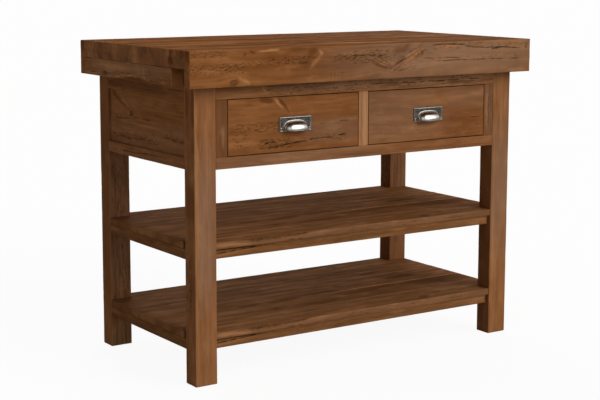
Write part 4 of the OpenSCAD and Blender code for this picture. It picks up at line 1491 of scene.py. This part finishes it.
@dataclass
class Shelf:
    """One open shelf: planks laid lengthwise on rails between the legs."""

    name: str
    seed: int
    tint: float
    arris: float = 1.5 * MM
    smudges: tuple[Corner, ...] = (
        (0.931, 0.290, 0.16), (0.951, 0.198, 0.22), (0.684, 0.188, 0.20), (0.867, 0.380, 0.12),
        (0.585, 0.242, 0.16), (0.424, 0.222, 0.16), (0.312, 0.219, 0.12), (0.790, 0.205, 0.14),
        (1.060, 0.215, 0.14), (0.520, 0.140, 0.18))
    plank: Corner = (7.0 * MM, 3.0 * MM, 3.0 * MM)
    rail: Corner = (7.0 * MM, 2.0 * MM, 6.0 * MM)
    coarse: Corner = (10 * MM, 5 * MM, 6 * MM)
    piths: tuple[Spot, ...] = (
        (0.04, -0.06), (-0.05, -0.08), (0.02, -0.05), (0.07, -0.09), (-0.02, -0.07))
    back_tints: tuple[float, ...] = (-0.14, -0.07, -0.05, -0.16)
    pale_arrises: tuple[Spot, ...] = ((0.1, 0.0), (0.1, 0.4), (0.4, 1.6), (0.1, 0.4), (0.1, 0.4))
    leg_gap: float = 0.2 * MM

    def leg_notches(self, end: str) -> list[tuple[Corner, Corner]]:
        """Returns the corners cut out of the front or back plank round the two legs beside it."""
        legs = [box(f"leg_{end}_{side}") for side in ("left", "right")]
        return [(tuple(low - self.leg_gap), tuple(high + self.leg_gap)) for low, high in legs]

    def top_marks(self, length: float, width: float, start: float, row: int) -> list[Mark]:
        """Returns the marks on the upper face of one plank.

        Args:
            length: the plank's length.
            width: the plank's width.
            start: how far its front arris lies behind the shelf's front edge.
            row: which plank it is, from the front.

        Returns:
            The raised grain, a knot, cracks, smudges, and a pale front arris with a dark seam beside it.
        """
        seed = self.seed + 3 * row
        rng = np.random.default_rng(seed)
        found: list[Mark] = [Weather((0.0, 0.0), (length, width), 0.4, (0.1, 0.0045), 0.2, seed)]
        share = rng.random(6)
        at = (length * (0.15 + 0.7 * share[0]), width * (0.25 + 0.5 * share[1]))
        found.append(Knot(at, 6 + 5 * share[2], 1.2 + share[3], 30 * share[4] - 15, 0.7))
        for n, share in enumerate(rng.random((2, 3))):
            x, y = length * 0.75 * share[0], width * (0.1 + 0.8 * share[1])
            found.append(Crack((x, y), (x + 0.1 + 0.15 * share[2], y + 3 * MM), 1.1, 0.8, 4,
                               0.4, seed + n))
        for along, behind, reach in self.smudges:
            across = behind - start
            if -0.02 < across < width + 0.02:
                found.append(Streak((along - reach / 2, across - 3 * MM),
                                    (along + reach / 2, across + 3 * MM), 11, -1.5))
        first, pale = self.pale_arrises[row]
        found.append(Streak((first, 0.0), (length + 0.3, 0.0), 4.5, pale))
        found.append(Streak((0.5, width), (length + 0.2, width), 4.0, -0.9))
        return found

    def edge_marks(self) -> list[Mark]:
        """Places the marks of the front plank's front edge.

        Returns:
            Pits, a crack and dark and pale bands, most of them near the left end.
        """
        return [
            FadeAndPaintedLight((-0.1, -0.1), (1.3, 0.1), 0.2), Streak((0.24, 0.01), (0.7, 0.01), 16, -0.3),
            Streak((0.1, 0.018), (0.44, 0.022), 6, -2.2),
            Pits((0.16, 0.01), (0.36, 0.022), 40, 7, 1.3, 0.6, 0.85, self.seed + 31, 1.0),
            Crack((0.25, 0.004), (0.46, 0.003), 1.0, 0.7, 2, 0.5, self.seed + 33),
            Streak((0.03, 0.01), (0.22, 0.009), 5, 0.6),
            Pits((0.4, 0.003), (1.0, 0.017), 40, 9, 1.0, 0.5, 0.5, self.seed + 34, 0.4),
        ]

    def end_gap(self) -> Crack:
        """Returns a shallow hollow in the left end of the front plank, just behind the leg, darkened with
        painted shade for its inside.
        """
        behind = box("leg_front_left")[1][1] - box(f"{self.name}_front_plank")[0][1] + 8 * MM
        # The crack's dark colour is painted shade inside the hollow.
        return Crack((behind, 0.000), (behind, 0.026), 8, 2.5, 0.5, 0.0, self.seed)

    def planks(self) -> None:
        """Builds the planks, the outer two cut round the legs."""
        width, rows = plank_rows(self.name)
        tints = (self.tint, *self.back_tints)
        for name, planks in rows.items():
            cuts = [cut for end in ("front", "back") if end in name for cut in self.leg_notches(end)]
            boards = []
            for k, start, low, high in planks:
                marks = {Face.BACK: self.top_marks((high - low)[0], width, start, k)}
                if k == 0:
                    marks |= {Face.LOW_EDGE: self.edge_marks(), Face.START: [self.end_gap()]}
                boards.append(Board(low, high, Lie.PLANK_X, self.seed + k, self.plank, self.arris, 1.1,
                                    tints[k], self.piths[k], cuts, marks))
            timber(name, boards, FINISHES.shelf)

    def rails(self) -> None:
        """Builds the rails under the planks and the bearer across the middle."""
        inner_x, inner_y = box("leg_front_left")[1][:2]
        for n, end in enumerate(("front", "back")):
            name = f"{self.name}_{end}_rail"
            low, high = clipped(name, 0, inner_x, -inner_x)
            length, _, height = high - low
            worn: list[Mark] = [
                Weather((0.0, 0.0), (length, height), 0.5, (0.12, 0.0042), 0.3, self.seed + 41 + n),
                Crack((-0.02, 0.0262), (0.16, 0.0235), 2.2, 1.3, 2, 0.1, self.seed + 43 + n),
                Crack((-0.02, 0.0125), (0.15, 0.0225), 1.9, 1.2, 2, 0.12, self.seed + 44 + n),
                Pits((0.02, 0.004), (0.97, 0.024), 40, 12, 0.9, 0.5, 0.5, self.seed + 45, 0.3),
                # Painted light: the pale band along the rail's top, and part of its raised tint, lift the
                # shade under the plank's overhanging edge.
                Streak((0.05, 0.024), (1.3, 0.025), 7, 0.5),
            ]
            rail = Board(low, high, Lie.RAIL_X, self.seed + 47 + n, self.rail, self.arris, tint=0.12,
                         pith=(0.04, 0.09), marks={Face.FRONT if n == 0 else Face.BACK: worn})
            timber(name, [rail], FINISHES.shelf)
        name = f"{self.name}_side_rails"
        low, high = clipped(name, 1, inner_y, -inner_y)
        front_low, front_high = box(f"{self.name}_front_rail")
        thick = (front_high - front_low)[1]
        worn = [Weather((0.0, 0.0), (0.46, 0.03), 0.5, (0.1, 0.0042), 0.3, self.seed + 51)]
        left, right = high.copy(), low.copy()
        left[0], right[0] = low[0] + thick, high[0] - thick
        sides = [
            Board(low, left, Lie.RAIL_Y, self.seed + 52, self.rail, 0.6 * self.arris, 0.5, -0.5,
                  (0.03, 0.1), marks={Face.FRONT: worn}),
            Board(right, high, Lie.RAIL_Y, self.seed + 53, self.rail, self.arris,
                  pith=(0.03, -0.1), marks={Face.BACK: worn}),
        ]
        timber(name, sides, FINISHES.shelf)
        name = f"{self.name}_bearer"
        low, high = clipped(name, 1, front_high[1], box(f"{self.name}_back_rail")[0][1])
        bearer = Board(low, high, Lie.FLAT_Y, self.seed + 54, self.coarse, self.arris)
        timber(name, [bearer], FINISHES.shelf)

    def build(self) -> None:
        """Builds and dresses the shelf."""
        self.planks()
        self.rails()


def sleeve(rows: int, count: int, base: int = 0, closed: bool = True) -> list[list[int]]:
    """Joins rows of points to one another, and closes both ends where the rows are rings.

    Args:
        rows: how many rows there are.
        count: how many points a row has.
        base: index of the first point.
        closed: whether each row runs round to its own first point.

    Returns:
        The faces.
    """
    faces = []
    last = base + (rows - 1) * count
    for start in range(base, last, count):
        for k in range(count if closed else count - 1):
            a, b = start + k, start + (k + 1) % count
            faces.append([a, b, b + count, a + count])
    if closed:
        faces += [list(range(base, base + count))[::-1], list(range(last, last + count))]
    return faces


@dataclass
class CupPull:
    """A cup pull on a rimmed plate: half-oval hood, flange against the plate, slotted screws."""

    side: str
    rim_width: float = 3.5 * MM
    field_depth: float = 1.6 * MM
    plate: float = 2.0 * MM
    corner: float = 1.2 * MM
    corner_points: int = 6
    wall: float = 1.8 * MM
    flange: float = 2.0 * MM
    hood_length: float = 78.0 * MM
    hood_reach: float = 26.0 * MM
    hood_out: float = 23.0 * MM
    hood_rise: float = 4.0 * MM
    fullness: float = 0.70
    lip: float = 0.6 * MM
    lip_height: float = 1.5 * MM
    steps: tuple[int, int] = (56, 22)
    crease: float = 48.0
    screw_head: float = 2.8 * MM
    head_rise: float = 1.4 * MM
    shank: float = 1.5 * MM
    slot_half: float = 0.45 * MM
    screw_points: int = 24
    screw_crease: float = 35.0

    def outline(self, half_width: float, half_height: float) -> list[Spot]:
        """Draws a rectangle with rounded corners.

        Args:
            half_width: half its width.
            half_height: half its height.

        Returns:
            Its points in x and z, anticlockwise.
        """
        found = []
        radius, last = self.corner, self.corner_points - 1
        for n, (sx, sz) in enumerate(((1, -1), (1, 1), (-1, 1), (-1, -1))):
            for k in range(self.corner_points):
                angle = math.radians(-90 + 90 * n + 90 / last * k)
                found.append((float(sx * (half_width - radius) + radius * math.cos(angle)),
                              float(sz * (half_height - radius) + radius * math.sin(angle))))
        return found

    def plate_parts(self, width: float, height: float) -> Shape:
        """Makes the plate as rings from its back, over the rim and down to the field.

        Args:
            width: the plate's width.
            height: the plate's height.

        Returns:
            Points, faces and how dull each point is. x and z lie on the plate, y out of it is below 0.
        """
        crest = self.plate + self.field_depth
        profile = [(inset * self.rim_width, out * crest, age) for inset, out, age in (
            (0.0, 0.0, 0.4), (0.0, 0.55, 0.2), (0.08, 0.8, 0.15), (0.28, 0.96, 0.25), (0.48, 1.0, 0.35),
            (0.68, 0.95, 0.3), (0.86, 0.78, 0.35), (0.96, 0.62, 0.7))]
        profile += [(inset * self.rim_width, self.plate, 0.82) for inset in (1.06, 1.5)]
        points: list[Corner] = []
        dull: list[float] = []
        for inset, out, age in profile:
            ring = self.outline(width / 2 - inset, height / 2 - inset)
            points += [(x, -out, z) for x, z in ring]
            dull += [age] * len(ring)
        return points, sleeve(len(profile), len(ring)), dull

    def hood_point(self, way: float, turn: float, grow: float) -> Corner:
        """Returns a point of the hood.

        Args:
            way: from -1 at one end of the hood to 1 at the other.
            turn: from 0 against the plate to 1 at the mouth.
            grow: how far outside the hood's outer face the point lies.

        Returns:
            The point, from the middle of the mouth's edge on the plate.
        """
        angle = math.radians(90 * way)
        along = math.copysign(abs(math.sin(angle)) ** self.fullness, way)
        share = max(math.cos(angle), 0.0) ** self.fullness
        out, rise = share * (self.hood_out + grow), share * (self.hood_reach + grow)
        bend = math.radians(90 * turn)
        return (along * (self.hood_length / 2 + grow), -out * math.sin(bend), rise * math.cos(bend))

    def hood_parts(self) -> Shape:
        """Makes the hood: flange, outer face, rolled lip and inner face in one sweep.

        Returns:
            Points, faces and how dull each point is.
        """
        across, round_ = self.steps
        rows = [(0.0, share * self.flange, push * MM, age) for share, push, age in (
            (1.0, 0.0, 0.5), (1.0, 0.9, 0.42), (0.75, 1.3, 0.35), (0.3, 1.35, 0.5))]
        rows += [(k / round_, 0.0, 0.0, 0.0) for k in range(1, round_ + 1)]
        rows += [(1.0, share * self.lip, -drop * self.lip_height, 0.0) for share, drop in (
            (0.0, 0.15), (0.7, 0.35), (1.0, 0.6), (0.75, 0.85), (0.0, 1.0))]
        rows += [(1.0, -self.wall, -0.9 * self.lip_height, 0.3)]
        rows += [(1.0 - k / round_, -self.wall, 0.0, 0.75) for k in range(0, round_ + 1, 2)]
        points: list[Corner] = []
        dull: list[float] = []
        for turn, grow, push, age in rows:
            for k in range(across + 1):
                x, y, z = self.hood_point(-1.0 + 2.0 * k / across, turn, grow)
                if turn == 0.0:
                    y -= push
                else:
                    z += push
                points.append((x, y, z))
                dull.append(age)
        return points, sleeve(len(rows), across + 1, closed=False), dull

    def cast(self, node: str, points: list[Corner], faces: list[list[int]], crease: float,
             dull: list[float] | None = None) -> None:
        """Makes a metal piece and puts it in a node's place.

        Args:
            node: the node's name.
            points: the piece's points, in world coordinates.
            faces: its faces.
            crease: edges that turn by more degrees than this are sharp.
            dull: how dull each point is, or nothing where all of them are bright.
        """
        mesh = bpy.data.meshes.new(node)
        mesh.from_pydata(points, [], faces)
        mesh.polygons.foreach_set("use_smooth", [True] * len(mesh.polygons))
        mesh.set_sharp_from_angle(angle=math.radians(crease))
        if dull:
            add_field(mesh, "age", np.array(dull))
        settle(node, mesh, FINISHES.nickel, f"{self.side}_drawer")

    def build(self) -> None:
        """Builds and dresses the pull and its screws."""
        node = f"{self.side}_drawer_pull"
        low, high = box(node)
        middle = (low + high) / 2
        width, _, height = high - low
        points, faces, dull = self.plate_parts(width, height)
        points = [(x, y, z + middle[2]) for x, y, z in points]
        hood, sides, age = self.hood_parts()
        mouth = low[2] + self.hood_rise
        faces += [[index + len(points) for index in face] for face in sides]
        points += [(x, y - self.plate, z + mouth) for x, y, z in hood]
        dull += age
        placed = [(x + middle[0], y + high[1], z) for x, y, z in points]
        self.cast(node, placed, faces, self.crease, dull)
        self.screws()

    def screws(self) -> None:
        """Builds the two slotted screws, each a low dome on its shank."""
        node = f"{self.side}_drawer_pull_screws"
        low, high = box(node)
        out, level = (high - low)[1], ((low + high) / 2)[2]
        head, rise, ring = self.screw_head, self.head_rise, self.screw_points
        points: list[Corner] = []
        faces: list[list[int]] = []
        profile = [(0.0, self.shank), (out - rise, self.shank)]
        profile += [(out - drop * rise, share * head) for drop, share in (
            (1.0, 1.0), (0.7, 1.0), (0.25, 0.8), (0.05, 0.45), (0.05, 0.15))]
        for n, end in enumerate((low[0] + head, high[0] - head)):
            faces += sleeve(len(profile), ring, len(points))
            twist = math.radians(35 + 70 * n)
            for along, radius in profile:
                for k in range(ring):
                    angle = 2 * math.pi * k / ring
                    x, z = radius * math.cos(angle), radius * math.sin(angle)
                    off = abs(x * math.sin(twist) - z * math.cos(twist))
                    sunk = 0.55 * rise if along > out - 0.7 * rise and off < self.slot_half else 0.0
                    points.append((end + x, high[1] - along + sunk, level + z))
        self.cast(node, points, faces, self.screw_crease)


@dataclass
class Drawer:
    """One drawer: the marked front, and the plain box behind it."""

    side: str
    lap: float = 10.0 * MM
    past: float = 10.0 * MM
    arris: float = 1.5 * MM
    side_arris: float = 0.8 * MM
    back_arris: float = 0.6 * MM
    fine: Corner = (3.4 * MM, 1.5 * MM, 5.0 * MM)

    def marks(self) -> list[Mark]:
        """Places the marks of this drawer's front.

        Returns:
            The marks, from its left end and its lower edge.
        """
        if self.side == "right":
            return [
                # Painted sheen: the fading over the left part of this front stands in for a soft sheen
                # from the front right.
                FadeAndPaintedLight((-0.1, 0.0), (0.26, 0.2), 0.35, (0.12, 0.05)),
                FadeAndPaintedLight((0.28, 0.09), (0.5, 0.2), 0.3, (0.05, 0.03)),
                Streak((0.02, 0.125), (0.42, 0.12), 14, 0.2),
                Streak((0.24, 0.022), (0.44, 0.024), 16, -0.55),
                Streak((0.1, 0.07), (0.2, 0.066), 10, -0.3),
                Crack((0.385, 0.0575), (0.437, 0.0585), 1.3, 0.9, 2, 0.2, 501),
                Crack((0.3, 0.06), (0.37, 0.056), 0.8, 0.5, 2, 0.5, 502),
                Pits((0.04, 0.03), (0.2, 0.06), 12, 7, 0.8, 0.4, 0.4, 503, 0.35),
                Pits((0.26, 0.008), (0.42, 0.04), 16, 8, 0.8, 0.4, 0.45, 504, 0.4),
            ]
        return [
            Streak((0.09, 0.15), (0.158, 0.142), 7, -1.3), Spike((0.2, 0.104), 75, 13, 136.0, 0.9, 0.5),
            Streak((0.146, 0.158), (0.186, 0.108), 3.0, 0.8),
            Streak((0.156, 0.16), (0.21, 0.098), 4.2, -1.4), Streak((0.185, 0.13), (0.214, 0.1), 4, 0.6),
            Pits((0.01, 0.06), (0.17, 0.086), 80, 6, 1.2, 0.6, 0.7, 511, 0.9),
            Pits((0.002, 0.01), (0.06, 0.075), 36, 6, 1.2, 0.6, 0.6, 512, 0.9),
            Pits((0.1, 0.012), (0.205, 0.04), 90, 6, 1.4, 0.9, 0.9, 516, 1.0),
            Crack((0.112, 0.028), (0.16, 0.03), 2.2, 1.4, 3, 0.2, 513),
            Crack((0.125, 0.011), (0.262, 0.028), 2.0, 1.5, 4, 0.1, 514),
            Crack((0.25, 0.027), (0.4, 0.037), 1.6, 1.2, 4, 0.3, 515),
            Pits((0.24, 0.02), (0.4, 0.042), 26, 7, 1.0, 0.8, 0.8, 517, 0.7),
            Crack((0.3, 0.072), (0.42, 0.076), 0.9, 0.6, 3, 0.5, 519),
            Streak((0.02, 0.115), (0.12, 0.118), 14, 0.2), Streak((0.26, 0.1), (0.42, 0.105), 20, 0.15),
            FadeAndPaintedLight((0.25, 0.02), (0.44, 0.085), 0.3, (0.04, 0.015)),
        ]

    def front(self) -> None:
        """Builds the front, with the laps that take the drawer's sides."""
        name = f"{self.side}_drawer_front"
        low, high = box(name)
        notches = []
        for edge, inner, inward in (
                (low[0], box(f"{self.side}_drawer_side_left")[1][0], 1.0),
                (high[0], box(f"{self.side}_drawer_side_right")[0][0], -1.0)):
            notches.append(((edge - self.past * inward, low[1] + self.lap, low[2] - self.past),
                            (inner, high[1] + self.past, high[2] + self.past)))
        tint, pith = (0.0, (0.03, 0.06)) if self.side == "left" else (0.05, (-0.04, 0.06))
        board = Board(low, high, Lie.RAIL_X, 520 + len(self.side), self.fine, self.arris, 0.9, tint, pith,
                      notches, {Face.FRONT: self.marks()})
        timber(name, [board], FINISHES.drawer, f"{self.side}_drawer")

    def build(self) -> None:
        """Builds and dresses the drawer."""
        self.front()
        CupPull(self.side).build()
        for part in ("side_left", "side_right"):
            dress_plain(f"{self.side}_drawer_{part}", FINISHES.inner_y, self.side_arris)
        for part in ("back", "bottom"):
            dress_plain(f"{self.side}_drawer_{part}", FINISHES.inner_x, self.back_arris)


WELD = 0.02 * MM
EASED_ANGLE = math.radians(40)


def dress_plain(name: str, finish: WaxedPine | PolishedMetal, arris: float) -> None:
    """Gives a part that keeps its own shape a finish and eased arrises.

    Args:
        name: the part's node.
        finish: its finish.
        arris: radius of its arrises, or 0 for none.
    """
    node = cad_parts[name]
    paint = PAINTS.of(finish)
    if not node.material_slots:
        node.data.materials.append(paint)
    for spot in node.material_slots:
        spot.material = paint
    if arris:
        weld = node.modifiers.new("joined", "WELD")
        weld.merge_threshold = WELD
        ease = node.modifiers.new("arris", "BEVEL")
        ease.width, ease.segments = arris, 2
        ease.limit_method, ease.angle_limit = "ANGLE", EASED_ANGLE
    LOG.info("%s keeps its shape", name)


@dataclass
class InnerWorks:
    """What carries the drawers and holds the worktop: runners, guides, kickers, stops and buttons."""

    arris: float = 0.8 * MM

    def build(self) -> None:
        """Dresses the inner parts."""
        for name in ("drawer_runners", "drawer_guides", "drawer_kickers"):
            dress_plain(name, FINISHES.inner_y, self.arris)
        for name in ("drawer_stops", "worktop_buttons"):
            dress_plain(name, FINISHES.inner_x, self.arris)
        dress_plain("worktop_screws", FINISHES.steel, 0.0)


@dataclass
class Studio:
    """A pale floor, an even sky, two soft lamps and the camera at the photograph's place."""

    camera_at: Corner = (-2.433509, -3.57463, 1.151515)
    turn: float = -33.919436
    rise: float = 8.250359
    roll: float = 0.124247
    focal_px: float = 1423.481
    frame_px: tuple[int, int] = (600, 400)
    level_px: float = 170.0
    sensor: float = 36.0
    farthest: float = 500.0
    floor_half: float = 90.0
    floor_tone: tuple[int, int, int] = (196, 194, 191)
    floor_pale: float = 0.97
    floor_white: float = 0.93
    window_at: Corner = (0.35, -0.94, 0.0)
    window_edge: Spot = (-0.5, 0.75)
    window_height: Spot = (0.38, 0.82)
    window_foot: Spot = (-0.02, 0.3)
    floor_gleam: float = 0.25
    gloom: float = 0.06
    glow: float = 2.1
    glow_edge: Spot = (0.875, 0.985)
    lamp_from: Corner = (0.385, -0.793, 0.474)
    lamp_strength: float = 1.9
    fill_from: Corner = (0.349, 0.848, 0.399)
    fill_strength: float = 1.45
    lamp_spread: float = 42.0
    lamp_away: float = 4.0
    lamp_tint: Corner = (1.0, 0.985, 0.96)
    sky_tint: Corner = (1.0, 0.99, 0.97)
    sky_strength: float = 0.345

    def window(self, graph: Graph, way: bpy.types.NodeSocket) -> bpy.types.NodeSocket:
        """Returns how bright the low front-right window is in a level direction, from 0 to 1."""
        toward = graph.node("ShaderNodeVectorMath", {0: way, 1: self.window_at}, operation="DOT_PRODUCT")
        return graph.between(toward.outputs["Value"], *self.window_edge, self.gloom, 1.0)

    def floor(self) -> None:
        """Makes the floor: pale for light that bounces, white to the camera but for a faint shadow."""
        half = self.floor_half
        mesh = bpy.data.meshes.new("floor")
        corners = [(x * half, y * half, 0) for x, y in ((-1, -1), (1, -1), (1, 1), (-1, 1))]
        mesh.from_pydata(corners, [], [[0, 1, 2, 3]])
        floor = bpy.data.objects.new("floor", mesh)
        bpy.context.scene.collection.objects.link(floor)
        graph, material, _ = Graph.of_material("floor")
        matt = graph.node("ShaderNodeBsdfDiffuse", {"Color": tone(*self.floor_tone)})
        pale = graph.node("ShaderNodeBsdfDiffuse", {"Color": (*[self.floor_pale] * 3, 1.0)})
        white = graph.node("ShaderNodeEmission", {"Color": (1.0, 1.0, 1.0, 1.0), "Strength": 1.0})
        seen = graph.node("ShaderNodeMixShader", {
            "Fac": self.floor_white, 1: pale.outputs[0], 2: white.outputs[0]})
        spot = graph.node("ShaderNodeNewGeometry").outputs["Position"]
        level = graph.node("ShaderNodeVectorMath", {0: spot}, operation="NORMALIZE").outputs[0]
        gleam = graph.math("MULTIPLY", self.window(graph, level), self.floor_gleam)
        mirrored = graph.node("ShaderNodeEmission", {"Strength": gleam})
        surface = graph.by_ray(matt, mirrored, seen)
        graph.tree.links.new(surface, graph.tree.nodes["Material Output"].inputs["Surface"])
        mesh.materials.append(material)

    def sky(self) -> None:
        """Sets the sky: even for light, white to the camera, and for reflections a window and a glow."""
        world = bpy.data.worlds.new("studio")
        world.use_nodes = True
        bpy.context.scene.world = world
        graph = Graph(world.node_tree)
        even = graph.tree.nodes["Background"]
        even.inputs["Color"].default_value = (*self.sky_tint, 1.0)
        even.inputs["Strength"].default_value = self.sky_strength
        white = graph.node("ShaderNodeBackground", {"Color": (1.0, 1.0, 1.0, 1.0), "Strength": 1.0})
        way = graph.node("ShaderNodeTexCoord").outputs["Generated"]
        height = graph.node("ShaderNodeSeparateXYZ", {0: way}).outputs["Z"]
        low = graph.between(height, *self.window_height, 1.0, self.gloom)
        low = graph.math("MULTIPLY", low, graph.between(height, *self.window_foot, self.floor_gleam, 1.0))
        toward = graph.node("ShaderNodeVectorMath", {0: way, 1: self.lamp_from}, operation="DOT_PRODUCT")
        glow = graph.between(toward.outputs["Value"], *self.glow_edge, 0.0, self.glow)
        light = graph.math("ADD", graph.math("MULTIPLY", self.window(graph, way), low), glow)
        mirrored = graph.node("ShaderNodeBackground", {"Strength": light})
        surface = graph.by_ray(even, mirrored, white)
        graph.tree.links.new(surface, graph.tree.nodes["World Output"].inputs["Surface"])

    def lamp(self, name: str, source: Corner, strength: float) -> None:
        """Sets a soft lamp that doesn't show in polished metal.

        Args:
            name: the lamp's name.
            source: the direction that its light comes from.
            strength: how strong it is.
        """
        lamp = bpy.data.lights.new(name, "SUN")
        lamp.energy = strength
        lamp.angle = math.radians(self.lamp_spread)
        lamp.color = self.lamp_tint
        holder = bpy.data.objects.new(name, lamp)
        holder.rotation_euler = Vector(source).to_track_quat("Z", "Y").to_euler()
        holder.location = Vector(source) * self.lamp_away
        holder.visible_glossy = False
        bpy.context.scene.collection.objects.link(holder)

    def camera(self) -> None:
        """Sets the camera where the photograph was taken from."""
        data = bpy.data.cameras.new("camera")
        data.sensor_width = self.sensor
        data.lens = self.focal_px / self.frame_px[0] * data.sensor_width
        data.shift_y = (self.level_px - self.frame_px[1] / 2) / self.frame_px[0]
        data.clip_end = self.farthest
        turn, rise, roll = (math.radians(a) for a in (self.turn, self.rise, self.roll))
        back = Vector((math.sin(turn) * math.cos(rise), -math.cos(turn) * math.cos(rise), math.sin(rise)))
        right = Vector((0.0, 0.0, 1.0)).cross(back).normalized()
        up = back.cross(right)
        c, s = math.cos(roll), math.sin(roll)
        facing = Matrix((right * c + up * s, up * c - right * s, back)).transposed().to_4x4()
        camera = bpy.data.objects.new("camera", data)
        camera.matrix_world = Matrix.Translation(self.camera_at) @ facing
        bpy.context.scene.collection.objects.link(camera)
        bpy.context.scene.camera = camera

    def build(self) -> None:
        """Builds the studio."""
        self.floor()
        self.sky()
        self.lamp("front_lamp", self.lamp_from, self.lamp_strength)
        self.lamp("back_lamp", self.fill_from, self.fill_strength)
        self.camera()
        bpy.context.scene.view_settings.view_transform = "Standard"


def main() -> None:
    """Builds the studio and the island."""
    logging.basicConfig(level=logging.INFO, format="%(message)s")
    Studio().build()
    Legs().build()
    ApronFrame().build()
    Worktop().build()
    Shelf("upper_shelf", 601, 0.1).build()
    Shelf("lower_shelf", 601, 0.16).build()
    InnerWorks().build()
    for side in ("left", "right"):
        Drawer(side).build()


if __name__ == "__main__":
    main()
